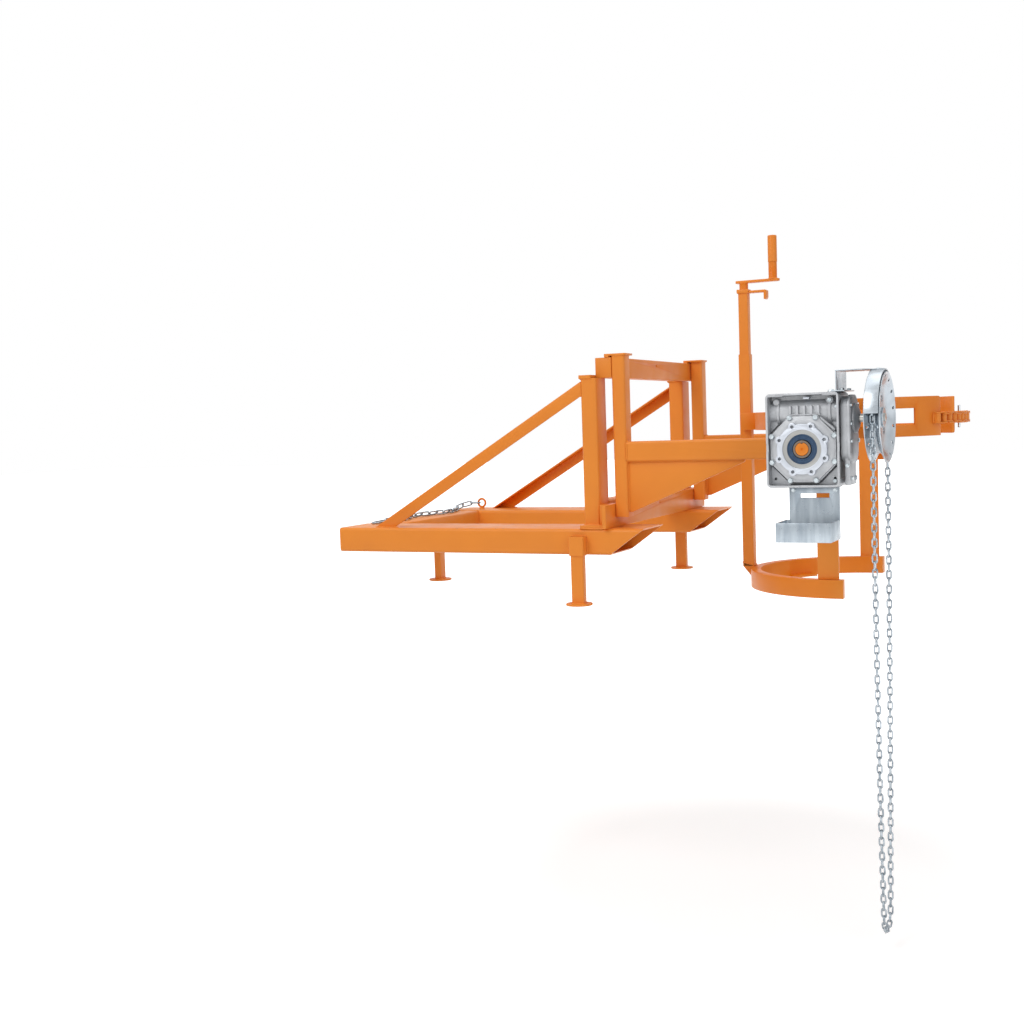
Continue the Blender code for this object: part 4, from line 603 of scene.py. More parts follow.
def absorb(whole: BMesh, part: BMesh) -> None:
    """Adds one mesh to another and frees it.

    Args:
        whole: The mesh that grows.
        part: The mesh that is added.
    """
    bmesh.ops.recalc_face_normals(part, faces=part.faces)
    mesh = bpy.data.meshes.new("part")
    part.to_mesh(mesh)
    part.free()
    whole.from_mesh(mesh)
    bpy.data.meshes.remove(mesh)


def add_turned(
    shape: BMesh, profile: Pairs, place: Matrix, steps: int = 48,
) -> None:
    """Adds a turned body to a mesh.

    Args:
        shape: The mesh that grows.
        profile: Radius and height of each corner, about Z.
        place: The matrix that lays it in its place.
        steps: Facets round the turn.
    """
    absorb(shape, spun(profile, place, steps))


def add_rod(
    shape: BMesh, radius: float, low: float, high: float, place: Matrix,
    steps: int = 48, ease: float = 0.0006,
) -> None:
    """Adds a round bar with broken edges.

    Args:
        shape: The mesh that grows.
        radius: Its radius.
        low: Where it starts along its own Z.
        high: Where it ends.
        place: The matrix that lays it in its place.
        steps: Facets round it.
        ease: The chamfer at both ends.
    """
    add_turned(shape, [
        (0.0, low), (radius - ease, low), (radius, low + ease), (radius, high - ease), (radius - ease, high),
        (0.0, high),
    ], place, steps)


def add_slab(
    shape: BMesh, low: Point, high: Point, ease: float = 0.001,
    place: Matrix | None = None,
) -> None:
    """Adds a plate or block whose edges are broken.

    Args:
        shape: The mesh that grows.
        low: Its lowest corner.
        high: Its highest corner.
        ease: The rounding of its edges.
        place: A matrix that moves it, if it doesn't lie along the axes.
    """
    part = block(low, high)
    if ease > 0:
        round_off(part, part.edges[:], ease, 2)
    if place is not None:
        bmesh.ops.transform(part, matrix=place, verts=part.verts)
    absorb(shape, part)


def add_prism(
    shape: BMesh, outline: Pairs, depth: float, place: Matrix, ease: float = 0.0,
) -> None:
    """Adds an outline raised along its own Z.

    Args:
        shape: The mesh that grows.
        outline: Its corners in X and Y.
        depth: How far it is raised.
        place: The matrix that lays it in its place.
        ease: The rounding of its sharp edges.
    """
    part = bmesh.new()
    face = part.faces.new([part.verts.new((x, y, 0.0)) for x, y in outline])
    grown = bmesh.ops.extrude_face_region(part, geom=[face])["geom"]
    bmesh.ops.translate(part, vec=(0.0, 0.0, depth), verts=kind_of(grown, BMVert))
    bmesh.ops.recalc_face_normals(part, faces=part.faces)
    if ease > 0:
        ease_edges(part, ease)
    bmesh.ops.transform(part, matrix=place, verts=part.verts)
    absorb(shape, part)


def add_tube(
    shape: BMesh, low: Point, high: Point, along: int, corner: float, wall: float,
) -> None:
    """Adds a rectangular tube with round corners, open at both ends.

    Args:
        shape: The mesh that grows.
        low: Its lowest corner.
        high: Its highest corner.
        along: The axis that it runs along: 0, 1 or 2.
        corner: The outer radius of its corners.
        wall: Its wall thickness.
    """
    part = block(low, high, along, corner, 5)
    bmesh.ops.recalc_face_normals(part, faces=part.faces)
    ends = [f for f in part.faces if abs(f.normal[along]) > 0.99]
    bmesh.ops.inset_individual(part, faces=ends, thickness=wall, depth=0.0)
    rims = [e for f in ends for e in f.edges]
    bmesh.ops.delete(part, geom=ends, context="FACES_ONLY")
    bmesh.ops.bridge_loops(part, edges=rims)
    bmesh.ops.recalc_face_normals(part, faces=part.faces)
    absorb(shape, part)


def add_bolt(shape: BMesh, place: Matrix, across: float, head: float, washer: float = 0.0) -> None:
    """Adds a hexagon head with a chamfered top.

    Args:
        shape: The mesh that grows.
        place: Where it stands, its own Z outwards.
        across: Across its flats.
        head: How high it is.
        washer: How thick the washer under it is.
    """
    if washer > 0:
        add_rod(shape, 0.62 * across, 0.0, washer, place, 24, 0.2 * washer)
    radius = across / 2 / math.cos(math.pi / 6)
    top = washer + head
    add_turned(shape, [
        (0.0, washer), (radius, washer), (radius, top - 0.16 * head), (0.88 * radius, top), (0.0, top),
    ], place, 6)


def add_bead(shape: BMesh, start: Point, end: Point, radius: float = 0.003) -> None:
    """Adds a straight weld bead, with a ripple every 3 mm as a hand-held torch leaves.

    Args:
        shape: The mesh that grows.
        start: Where the seam starts.
        end: Where it ends.
        radius: Half the bead's width.
    """
    run = Vector(end) - Vector(start)
    count = max(3, round(run.length / 0.003))
    profile = [(0.0, 0.0)]
    for index in range(count):
        profile.append((radius * (1.0 if index % 2 else 0.78), run.length * (index + 0.5) / count))
    profile.append((0.0, run.length))
    add_turned(shape, profile, Matrix.Translation(start) @ run.to_track_quat("Z", "X").to_matrix().to_4x4(), 8)


def add_bead_loop(shape: BMesh, corners: Sequence[Point], radius: float = 0.003) -> None:
    """Adds weld beads round a closed run of corners.

    Args:
        shape: The mesh that grows.
        corners: The corners, in order.
        radius: Half the bead's width.
    """
    for start, end in zip(corners, list(corners[1:]) + [corners[0]]):
        add_bead(shape, start, end, radius)


def carved(stock: BMesh, tool: BMesh) -> BMesh:
    """Cuts one mesh out of another, and frees both.

    Args:
        stock: The mesh that is cut.
        tool: What is taken away.

    Returns:
        The mesh that is left.
    """
    holders = []
    for name, part in (("stock", stock), ("tool", tool)):
        bmesh.ops.recalc_face_normals(part, faces=part.faces)
        mesh = bpy.data.meshes.new(name)
        part.to_mesh(mesh)
        part.free()
        holder = bpy.data.objects.new(name, mesh)
        bpy.context.scene.collection.objects.link(holder)
        holders.append(holder)
    change = holders[0].modifiers.new("cut", "BOOLEAN")
    change.operation = "DIFFERENCE"
    change.solver = "EXACT"
    change.object = holders[1]
    bpy.context.view_layer.update()
    graph = bpy.context.evaluated_depsgraph_get()
    left = bpy.data.meshes.new_from_object(holders[0].evaluated_get(graph))
    shape = bmesh.new()
    shape.from_mesh(left)
    bpy.data.meshes.remove(left)
    for holder in holders:
        mesh = holder.data
        bpy.data.objects.remove(holder)
        bpy.data.meshes.remove(mesh)
    return shape


def loft_link(pitch: float, wire: float, width: float, sides: int, arc: int) -> Mesh:
    """Bends one chain link of round bar, lying in X and Y with its length along X.

    Args:
        pitch: Its inner length.
        wire: The bar's diameter.
        width: Its outer width.
        sides: Facets round the bar.
        arc: Facets round each end.

    Returns:
        The link's mesh.
    """
    reach = (width - wire) / 2
    straight = pitch / 2 - reach + wire / 2
    shape = bmesh.new()
    ring = bmesh.ops.create_circle(
        shape, segments=sides, radius=wire / 2,
        matrix=Matrix.Translation((-straight, reach, 0.0)) @ Matrix.Rotation(math.pi / 2, 4, "Y"),
    )["verts"]
    edges = list({edge for vert in ring for edge in vert.link_edges})
    for side in (1, -1):
        grown = bmesh.ops.extrude_edge_only(shape, edges=edges)["geom"]
        verts = kind_of(grown, BMVert)
        bmesh.ops.translate(shape, vec=(side * 2 * straight, 0.0, 0.0), verts=verts)
        edges = [edge for edge in kind_of(grown, BMEdge) if all(vert in verts for vert in edge.verts)]
        turned = bmesh.ops.spin(
            shape, geom=verts + edges, cent=(side * straight, 0.0, 0.0), axis=(0.0, 0.0, -1.0), angle=math.pi,
            steps=arc,
        )["geom_last"]
        edges = kind_of(turned, BMEdge)
    bmesh.ops.remove_doubles(shape, verts=shape.verts, dist=1e-5)
    bmesh.ops.recalc_face_normals(shape, faces=shape.faces)
    mesh = bpy.data.meshes.new("link")
    shape.to_mesh(mesh)
    shape.free()
    return mesh


def lay_links(link: Mesh, touches: Sequence[Vector], first_side: Vector, settle: int) -> BMesh:
    """Lays links between the points where they touch, every other one a quarter turn round.

    Args:
        link: One link, along X.
        touches: Where each link meets the next.
        first_side: The direction across the first link.
        settle: Over how many links the chain rolls on to its edges, as one on a plate does.

    Returns:
        The chain.
    """
    shape = bmesh.new()
    for index, (here, there) in enumerate(zip(touches, touches[1:])):
        ahead = (there - here).normalized()
        side = (first_side - ahead * first_side.dot(ahead)).normalized()
        roll = math.pi / 4 * min(1.0, index / settle) if settle else 0.0
        side = Matrix.Rotation(roll + math.pi / 2 * (index % 2), 3, ahead) @ side
        turn = Matrix((ahead, side, ahead.cross(side))).transposed().to_4x4()
        first = len(shape.verts)
        shape.from_mesh(link)
        shape.verts.ensure_lookup_table()
        place = Matrix.Translation((here + there) / 2) @ turn
        bmesh.ops.transform(shape, matrix=place, verts=shape.verts[first:])
    return shape


def touch_points(route: Sequence[Vector], pitch: float, count: int) -> list[Vector]:
    """Steps along a route in straight strides of one pitch.

    Args:
        route: The points of the route.
        pitch: The stride.
        count: The most strides.

    Returns:
        The points that are stepped on.
    """
    found = [route[0]]
    for here, there in zip(route, route[1:]):
        while len(found) <= count and (there - found[-1]).length >= pitch:
            near, far = 0.0, 1.0
            for _ in range(30):
                middle = (near + far) / 2
                if (here.lerp(there, middle) - found[-1]).length < pitch:
                    near = middle
                else:
                    far = middle
            found.append(here.lerp(there, far))
            here = found[-1]
    return found


def span(side: int, near: float, far: float) -> Pair:
    """Gives the Y limits of a strip on one side, -1 for right and 1 for left."""
    return (-far, -near) if side < 0 else (near, far)


def on_drum(radius: float, degrees: float, z: float) -> Vector:
    """Gives a point round the drum: 0 degrees faces right and 90 faces forward."""
    angle = math.radians(degrees)
    return Vector((DRUM_X + radius * math.sin(angle), -radius * math.cos(angle), z))


def about(middle: float, half: float) -> Pair:
    """Gives the limits of a strip about its middle."""
    return middle - half, middle + half


def polar(radius: float, count: int, first: float = 0.0) -> list[Pair]:
    """Gives places evenly round a circle, all turned on by a share of a step."""
    angles = (math.tau * (index + first) / count for index in range(count))
    return [(radius * math.cos(angle), radius * math.sin(angle)) for angle in angles]


def level_corners(x: Pair, y: Pair, z: float) -> list[tuple[float, float, float]]:
    """Gives the corners of a level rectangle, in order."""
    return [(x[0], y[0], z), (x[1], y[0], z), (x[1], y[1], z), (x[0], y[1], z)]


# The carrier frame


@dataclass
class CarrierFrame:
    """The welded frame that the truck's forks enter, with its legs and tether."""

    pocket_length: float = 1.050
    pocket_y: Pair = (0.280, 0.460)
    pocket_top: float = 0.078
    nose: float = 0.108
    column_x: Pair = (0.855, 0.905)
    column_y: Pair = (0.357, 0.437)
    column_top: float = 0.5225
    base_x: Pair = (0.850, 0.9267)
    base_z: Pair = (0.0783, 0.0883)
    base_reach: float = 0.459
    cap_x: Pair = (0.851, 0.8887)
    cap_z: Pair = (0.5215, 0.5325)
    beam_front: float = 0.939
    upright_y: Pair = (0.348, 0.398)
    upright_z: Pair = (0.1087, 0.5871)
    arm_y: Pair = (0.358, 0.398)
    arm_z: Pair = (0.272, 0.332)
    arm_x: Pair = (0.9806, 1.592)
    gusset_y: Pair = (0.376, 0.386)
    leg_x: float = 0.8475
    leg_y: float = 0.4761
    leg_half: Pair = (0.020, 0.0125)
    socket_half: Pair = (0.0233, 0.0158)
    rear_leg_x: float = 0.110
    rear_half: Pair = (0.0125, 0.020)
    foot_z: float = -0.148
    foot_radius: float = 0.040
    eye: tuple[float, float, float] = (0.100, 0.360, 0.1013)
    eased: dict[str, float] = field(default_factory=lambda: {
        "rear_cross_member": 0.0010, "brace_right": 0.0010, "brace_left": 0.0010, "top_beam": 0.0014,
        "lower_bar": 0.0012, "tie_beam": 0.0, "gusset_right": 0.0012, "gusset_left": 0.0012,
        "gearbox_plate": 0.0012, "bearing_plate": 0.0012,
    })

    def pockets(self) -> None:
        """Makes the two fork pockets, cut back under the nose."""
        length, top, over = self.pocket_length, self.pocket_top, 0.02
        start = length - self.nose - over * self.nose / top
        for word, side in SIDES:
            low, high = span(side, *self.pocket_y)
            shape, tool = bmesh.new(), bmesh.new()
            add_tube(shape, (0.0, low, 0.0), (length, high, top), 0, 0.010, 0.005)
            add_prism(tool, [(start, -over), (length + over, -over), (length + over, top), (length, top)], 0.4,
                      Axis.FRONT.place((0.0, (low + high) / 2 + 0.2, 0.0)))
            stand_in(f"fork_pocket_{word}", carved(shape, tool), POCKET_ENAMEL, "frame")

    def columns(self) -> None:
        """Makes the rear columns with base and cap plates."""
        rear, front = self.column_x
        for word, side in SIDES:
            low, high = span(side, *self.column_y)
            base = span(side, self.column_y[0], self.base_reach)
            shape = bmesh.new()
            add_tube(shape, (rear, low, self.base_z[1] - GAP), (front, high, self.column_top), 2, 0.007, 0.004)
            for x, y, z in ((self.base_x, base, self.base_z), (self.cap_x, (low - 0.003, high + 0.003), self.cap_z)):
                add_slab(shape, (x[0], y[0], z[0]), (x[1], y[1], z[1]))
            stand_in(f"column_{word}", shape, ENAMEL, "frame")

    def uprights(self) -> None:
        """Makes the front uprights, whose caps hook back over the top beam."""
        rear = self.beam_front + GAP
        foot, top = self.upright_z
        for word, side in SIDES:
            low, high = span(side, *self.upright_y)
            cap = span(side, self.upright_y[0] - 0.012, self.upright_y[1] + 0.002)
            shape = bmesh.new()
            add_tube(shape, (rear, low, foot), (rear + 0.041, high, top), 2, 0.007, 0.004)
            add_slab(shape, (rear - 0.021, cap[0], top), (rear + 0.045, cap[1], top + 0.006), 0.0012)
            add_slab(shape, (rear - 0.021, cap[0], top - 0.004), (rear - 0.007, cap[1], top + 0.001), 0.0008)
            stand_in(f"upright_{word}", shape, ENAMEL, "frame")

    def arms(self) -> None:
        """Makes the arms of box tube, bored for the shafts."""
        (rear, front), (bottom, top) = self.arm_x, self.arm_z
        for word, side in SIDES:
            low, high = span(side, *self.arm_y)
            shape, tool = bmesh.new(), bmesh.new()
            add_tube(shape, (rear, low, bottom), (front, high, top), 0, 0.007, 0.004)
            add_rod(tool, 0.0235, -0.05, 0.05, Axis.Y.place((PIVOT.x, (low + high) / 2, PIVOT.z)), 48, 0.0)
            stand_in(f"arm_{word}", carved(shape, tool), ENAMEL, "frame")

    def foot(self, shape: BMesh, x: float, y: float) -> None:
        """Adds the round foot of a parking leg.

        Args:
            shape: The mesh that grows.
            x: The leg's place along the frame.
            y: The leg's place across it.
        """
        wide, low = self.foot_radius, self.foot_z
        add_turned(shape, [
            (0.0, low), (wide - 0.001, low), (wide, low + 0.001), (wide, low + 0.0045), (wide - 0.0015, low + 0.006),
            (0.0, low + 0.006),
        ], Axis.Z.place((x, y, 0.0)), 64)

    def leg(self, node: str, x: float, y: float, half: Pair, z: Pair, corner: float, footed: bool) -> None:
        """Makes a leg, or the socket that one stands in.

        Args:
            node: The CAD node that it stands for.
            x: Its place along the frame.
            y: Its place across it.
            half: Half its width along and across the frame.
            z: Its lower and upper end.
            corner: The outer radius of the tube's corners.
            footed: Whether it has a round foot.
        """
        shape = bmesh.new()
        add_tube(shape, (x - half[0], y - half[1], z[0]), (x + half[0], y + half[1], z[1]), 2, corner, 0.003)
        if footed:
            self.foot(shape, x, y)
        stand_in(node, shape, ENAMEL, "frame")

    def legs(self) -> None:
        """Makes the parking legs and the sockets of the front ones."""
        bottom = self.foot_z + 0.004
        for word, side in SIDES:
            y = side * self.leg_y
            self.leg(f"front_leg_{word}", self.leg_x, y, self.leg_half, (bottom, 0.051), 0.005, True)
            self.leg(f"leg_socket_{word}", self.leg_x, y, self.socket_half, (0.0, 0.057), 0.0055, False)
        self.leg("rear_leg", self.rear_leg_x, 0.0, self.rear_half, (bottom, -GAP), 0.005, True)

    def tether(self) -> None:
        """Makes the welded eye, its long-link chain and the end link."""
        ring, bar = 0.015, 0.004
        shape = bmesh.new()
        add_turned(shape, [(ring + r, h) for r, h in polar(bar, 12)], Axis.Y.place(self.eye), 48)
        add_turned(shape, [(0.0, -0.023), (0.011, -0.023), (0.008, -0.019), (0.008, -0.0145), (0.0, -0.0145)],
                   Axis.Z.place(self.eye), 32)
        stand_in("tether_eye", shape, ENAMEL, "frame")
        top, wire, width, pitch = self.pocket_top + GAP, 0.0055, 0.0205, 0.035
        lie = top + (0.021 - wire) / 2 * math.sin(math.pi / 4) + wire / 2 + GAP
        start = self.eye[0] - ring + bar + 0.0005
        bends = [
            (start, 0.360, self.eye[2]), (start - pitch, 0.360, self.eye[2]), (0.028, 0.318, lie + 0.005),
            (0.046, 0.255, lie), (0.072, 0.190, lie), (0.082, 0.120, lie), (0.062, 0.045, lie),
            (0.040, -0.020, lie), (0.050, -0.090, lie), (0.076, -0.155, lie), (0.078, -0.225, lie),
            (0.056, -0.300, lie), (0.050, -0.400, lie),
        ]
        touches = touch_points(self.curve([Vector(point) for point in bends]), pitch, 20)
        chain = lay_links(loft_link(pitch - GAP, wire, width, 10, 8), touches, Vector((0.0, 1.0, 0.0)), 4)
        stand_in("tether_chain", chain, LINK_ZINC, "frame", 60.0)
        last, hook = touches[-1], 0.056
        ahead = last - touches[-2]
        ahead.z = 0.0
        end = last + ahead.normalized() * hook
        end.z = top + 0.003 + GAP
        tangent = (end - last).normalized()
        middle = last + tangent * (hook / 2 - 0.0025)
        ends = [middle - tangent * (hook / 2), middle + tangent * (hook / 2)]
        link = lay_links(loft_link(hook, 0.006, 0.034, 10, 10), ends, tangent.cross(Vector((0, 0, 1))), 0)
        stand_in("tether_hook", link, LINK_ZINC, "frame", 60.0)

    def curve(self, points: Sequence[Vector], steps: int = 24) -> list[Vector]:
        """Runs a smooth route through points.

        Args:
            points: The points.
            steps: Strides between two of them.

        Returns:
            The route.
        """
        ends = [2 * points[0] - points[1], *points, 2 * points[-1] - points[-2]]
        route = []
        for a, b, c, d in zip(ends, ends[1:], ends[2:], ends[3:]):
            for t in (step / steps for step in range(steps)):
                bend = (2 * a - 5 * b + 4 * c - d) * t * t + (3 * b - a - 3 * c + d) * t ** 3
                route.append(0.5 * (2 * b + (c - a) * t + bend))
        return route + [points[-1]]

    def welds(self) -> None:
        """Lays the fillet welds that hold the frame together."""
        shape = bmesh.new()
        top, front, crest = self.pocket_top, self.beam_front, self.upright_z[1]
        start, (under, over) = self.arm_x[0], self.arm_z
        foot_top = self.foot_z + 0.006
        for _, side in SIDES:
            low, high = span(side, *self.column_y)
            add_bead_loop(shape, level_corners(self.column_x, (low, high), 0.0885), 0.0032)
            base = span(side, self.column_y[0], self.base_reach)
            add_bead(shape, (0.850, base[0], top), (0.850, base[1], top), 0.0032)
            for y in base:
                add_bead(shape, (0.851, y, top), (0.925, y, top), 0.0028)
            add_bead(shape, (0.855, low, 0.5212), (0.855, high, 0.5212), 0.0025)
            low, high = span(side, *self.arm_y)
            for z in self.arm_z:
                add_bead(shape, (start, low + 0.004, z), (start, high - 0.004, z), 0.0032)
            for y in (low, high):
                add_bead(shape, (start, y, under + 0.004), (start, y, over - 0.004), 0.0032)
            for y in span(side, *self.gusset_y):
                add_bead(shape, (start, y, 0.126), (start, y, under - 0.004), 0.0030)
                add_bead(shape, (start + 0.004, y, under), (start + 0.350, y, under), 0.0026)
            low, high = span(side, *self.upright_y)
            for y in (low, high):
                add_bead(shape, (front + 0.006, y, crest), (front + 0.038, y, crest), 0.0025)
            add_bead(shape, (front + 0.0413, low + 0.005, crest), (front + 0.0413, high - 0.005, crest), 0.0025)
            brace = side * self.column_y[1]
            add_bead(shape, (0.124, brace - side * 0.036, top), (0.124, brace - side * 0.001, top), 0.0028)
            add_bead(shape, (0.124, brace, top + 0.0005), (0.210, brace, top + 0.0005), 0.0026)
            add_bead(shape, (0.8547, brace - side * 0.002, 0.468), (0.8547, brace - side * 0.002, 0.512), 0.0026)
            y = side * (self.leg_y - self.socket_half[1])
            for x in about(self.leg_x, self.socket_half[0]):
                add_bead(shape, (x, y, 0.004), (x, y, 0.055), 0.0024)
            x, y = about(self.leg_x, self.leg_half[0]), about(side * self.leg_y, self.leg_half[1])
            add_bead_loop(shape, level_corners(x, y, foot_top), 0.0022)
            y = side * 0.2798
            add_bead(shape, (0.006, y, 0.0775), (0.125, y, 0.0775), 0.0026)
            add_bead(shape, (0.1292, y, 0.006), (0.1292, y, 0.072), 0.0026)
            x, y = PIVOT.x - (0.090 if side < 0 else 0.066), side * 0.3985
            add_bead(shape, (x, y, under + 0.003), (x, y, over - 0.003), 0.0028)
        for z in (foot_top, -0.001):
            x, y = about(self.rear_leg_x, self.rear_half[0]), about(0.0, self.rear_half[1])
            add_bead_loop(shape, level_corners(x, y, z), 0.0022)
        add_piece("frame_welds", shape, ENAMEL, "frame", (), 80.0)

    def fasteners(self) -> None:
        """Bolts the bearing unit to its plate, and adds its grease nipple."""
        shape = bmesh.new()
        for x in about(PIVOT.x, 0.044):
            for z in about(PIVOT.z, 0.044):
                add_bolt(shape, Axis.Y.place((x, 0.4246, z)), 0.017, 0.007, 0.0020)
        add_turned(shape, [(0.0, 0.0), (0.0035, 0.0), (0.0035, 0.004), (0.002, 0.005), (0.0026, 0.0075), (0.0, 0.009)],
                   Axis.Z.place((PIVOT.x, 0.432, PIVOT.z + 0.040)), 16)
        add_piece("bearing_bolts", shape, BOLT_ZINC, "frame")

    def build(self) -> None:
        """Makes the frame's pieces."""
        self.pockets()
        self.columns()
        self.uprights()
        self.arms()
        self.legs()
        for node, width in self.eased.items():
            refine(node, ENAMEL, "frame", width)
        self.tether()
        self.welds()
        self.fasteners()


# The gearbox


@dataclass
class Gearbox:
    """The worm gearbox with its first stage, seal and shafts. Places are from the output shaft."""

    half_width: float = 0.098
    bottom: float = -0.103
    top: float = 0.150
    back: float = -0.4106
    rim_front: float = -0.5446
    floor: float = -0.5006
    seat: float = -0.5226
    cover_face: float = -0.5349
    flange_face: float = -0.5506
    rim: float = 0.006
    worm_z: float = 0.099
    bolt_circle: float = 0.091
    lug_circle: float = 0.065
    lug_radius: float = 0.0107
    middle: float = -0.4776

    def front(self, x: float, y: float, z: float) -> Matrix:
        """Gives the matrix of a piece that faces the side, placed from the shaft's axis."""
        return Axis.FRONT.place((PIVOT.x + x, y, PIVOT.z + z))

    def slab(self, shape: BMesh, x: Pair, y: Pair, z: Pair, ease: float = 0.0008) -> None:
        """Adds a block by its limits, X and Z of them from the shaft's axis.

        Args:
            shape: The mesh that grows.
            x: Its limits forward.
            y: Its limits to the left.
            z: Its limits upwards.
            ease: The rounding of its edges.
        """
        add_slab(shape, (PIVOT.x + x[0], y[0], PIVOT.z + z[0]), (PIVOT.x + x[1], y[1], PIVOT.z + z[1]), ease)

    def octagon(self, flat: float) -> list[Pair]:
        """Gives an octagon's corners about the shaft, from its middle to its flats."""
        return self.around(flat / math.cos(math.pi / 8))

    def around(self, radius: float) -> list[Pair]:
        """Gives eight places on a circle about the shaft, the first at 22.5 degrees."""
        return polar(radius, 8, 0.5)

    def stage_spots(self) -> list[Pair]:
        """Gives Y and Z of the six screws of the first stage."""
        return [(y, PIVOT.z + z) for y in about(self.middle, 0.0455) for z in (0.113, 0.064, 0.018)]

    def shell(self) -> BMesh:
        """Casts the open-fronted box with its raised rim and notches.

        Returns:
            The shell's mesh.
        """
        shape = block((PIVOT.x - self.half_width, self.rim_front, PIVOT.z + self.bottom),
                      (PIVOT.x + self.half_width, self.back, PIVOT.z + self.top), 1, 0.012, 6)
        face = min(shape.faces, key=lambda f: f.calc_center_median().y)
        bmesh.ops.inset_region(shape, faces=[face], thickness=self.rim, depth=0.0, use_even_offset=True)
        face = min((f for f in shape.faces if abs(f.normal.y) > 0.9),
                   key=lambda f: (round(f.calc_center_median().y, 5), -f.calc_area()))
        bmesh.ops.inset_region(shape, faces=[face], thickness=0.0008, depth=self.rim_front - self.floor,
                               use_even_offset=True)
        walls = [f for f in shape.faces if abs(f.normal.x) > 0.99 and f.calc_area() > 0.02]
        walls = [f for f in walls if abs(f.calc_center_median().x - PIVOT.x) > self.half_width - 0.001]
        for rise, depth in ((0.014, 0.0), (0.002, -0.0025)):
            bmesh.ops.inset_individual(shape, faces=walls, thickness=rise, depth=depth)
        ease_edges(shape, 0.0014)
        tool = bmesh.new()
        front = (self.rim_front - 0.01, self.rim_front + 0.004)
        for x in (-self.half_width, self.half_width):
            self.slab(tool, about(x, 0.009), front, (-0.006, 0.016), 0.0015)
        self.slab(tool, (-0.009, 0.013), front, (self.bottom - 0.01, self.bottom + 0.009), 0.0015)
        return carved(shape, tool)

    def insides(self, shape: BMesh) -> None:
        """Adds what stands inside the rim: the seat, the worm's barrel with its ribs, and the webs.

        Args:
            shape: The casting that grows.
        """
        add_prism(shape, self.octagon(0.0912), 0.026, self.front(0, self.floor + 0.004, 0), 0.0012)
        barrel = Axis.X.place((PIVOT.x, -0.486, PIVOT.z + self.worm_z))
        half = self.half_width - 0.004
        add_rod(shape, 0.036, -half, half, barrel, 72)
        for low, high, crest in ((0.0635, 0.0735, 0.0397), (-0.0735, -0.0655, 0.0395)):
            add_turned(shape, [(0.030, low), (0.0385, low), (crest, low + 0.001), (crest, high - 0.001),
                               (0.0385, high), (0.030, high)], barrel, 72)
        for x in (-0.0346 + 0.019 * index for index in range(5)):
            self.slab(shape, about(x, 0.003), (-0.5300, -0.500), (0.091, 0.1155), 0.0010)
        self.slab(shape, (-0.039, 0.046), (-0.5295, -0.505), (0.0895, 0.0935))
        self.slab(shape, (-0.009, 0.005), (-0.5290, -0.505), (0.076, 0.092))
        for sx in (-1, 1):
            web, hole = bmesh.new(), bmesh.new()
            outline = [(sx * 0.0915, -0.0965), (sx * 0.0915, -0.0428), (sx * 0.0378, -0.0965)]
            add_prism(web, outline, 0.0165, self.front(0, -0.4985, 0), 0.0010)
            add_rod(hole, 0.0040, -0.004, 0.030, self.front(sx * 0.080, -0.4985, -0.0800), 32, 0.0)
            absorb(shape, carved(web, hole))
        for depth, outline in (
            (0.0125, [(-0.0915, 0.047), (-0.043, 0.0955), (-0.043, 0.102), (-0.0915, 0.102)]),
            (0.0090, [(0.0915, 0.047), (0.0915, 0.102), (0.050, 0.102), (0.050, 0.090)]),
        ):
            add_prism(shape, outline, depth, self.front(0, -0.4990, 0), 0.0010)
        half = math.hypot(0.040, 0.034) / 2
        slant = Matrix.Translation((PIVOT.x + 0.064, -0.5150, PIVOT.z + 0.0665))
        slant @= Matrix.Rotation(math.atan2(0.034, 0.040), 4, "Y")
        add_slab(shape, (-half, -0.0135, -0.003), (half, 0.014, 0.003), 0.0010, slant)
        for x, z, radius in ((0.070, 0.129, 0.0095), (0.086, 0.111, 0.0060), (-0.074, 0.127, 0.0085)):
            add_rod(shape, radius, 0.0, 0.022, self.front(x, -0.4990, z), 40, 0.001)
        for x in ((-0.092, -0.051), (0.055, 0.092)):
            self.slab(shape, x, (-0.5440, -0.500), (0.1415, 0.1465))

    def housing(self) -> None:
        """Makes the housing with its vent plug, and the bright tab inside the rim."""
        shape = self.shell()
        self.insides(shape)
        top = Axis.Z.place((PIVOT.x + 0.065, self.middle, PIVOT.z + self.top))
        add_turned(shape, [(0.0, -0.004), (0.0125, -0.004), (0.0125, 0.0008), (0.0, 0.0008)], top, 40)
        stand_in("gear_housing", shape, CASTING, "frame", 32.0)
        plug = bmesh.new()
        add_turned(plug, [(0.0, 0.0), (0.0098, 0.0), (0.0098, 0.0032), (0.0080, 0.0060), (0.0040, 0.0078),
                          (0.0, 0.0080)], top, 40)
        add_piece("vent_plug", plug, BOLT_ZINC, "frame")
        tab = bmesh.new()
        self.slab(tab, (0.0, 0.016), (-0.5250, -0.4990), (0.1335, 0.1395))
        add_piece("cast_lifting_tab", tab, FACED, "frame")

    def cover(self) -> None:
        """Makes the side cover with its bolt pads and the raised ring round the flange."""
        shape = bmesh.new()
        add_prism(shape, self.octagon(0.0885), self.seat - self.cover_face, self.front(0, self.seat - GAP, 0), 0.0014)
        for x, z in self.around(self.bolt_circle):
            add_rod(shape, 0.0082, 0.0, 0.0135, self.front(x, self.seat, z), 40, 0.0008)
        add_turned(shape, [(0.050, 0.0), (0.0865, 0.0), (0.0800, 0.0035), (0.0735, 0.0048), (0.050, 0.0048)],
                   self.front(0, self.cover_face, 0), 96)
        stand_in("gear_cover", shape, CASTING, "frame", 32.0)

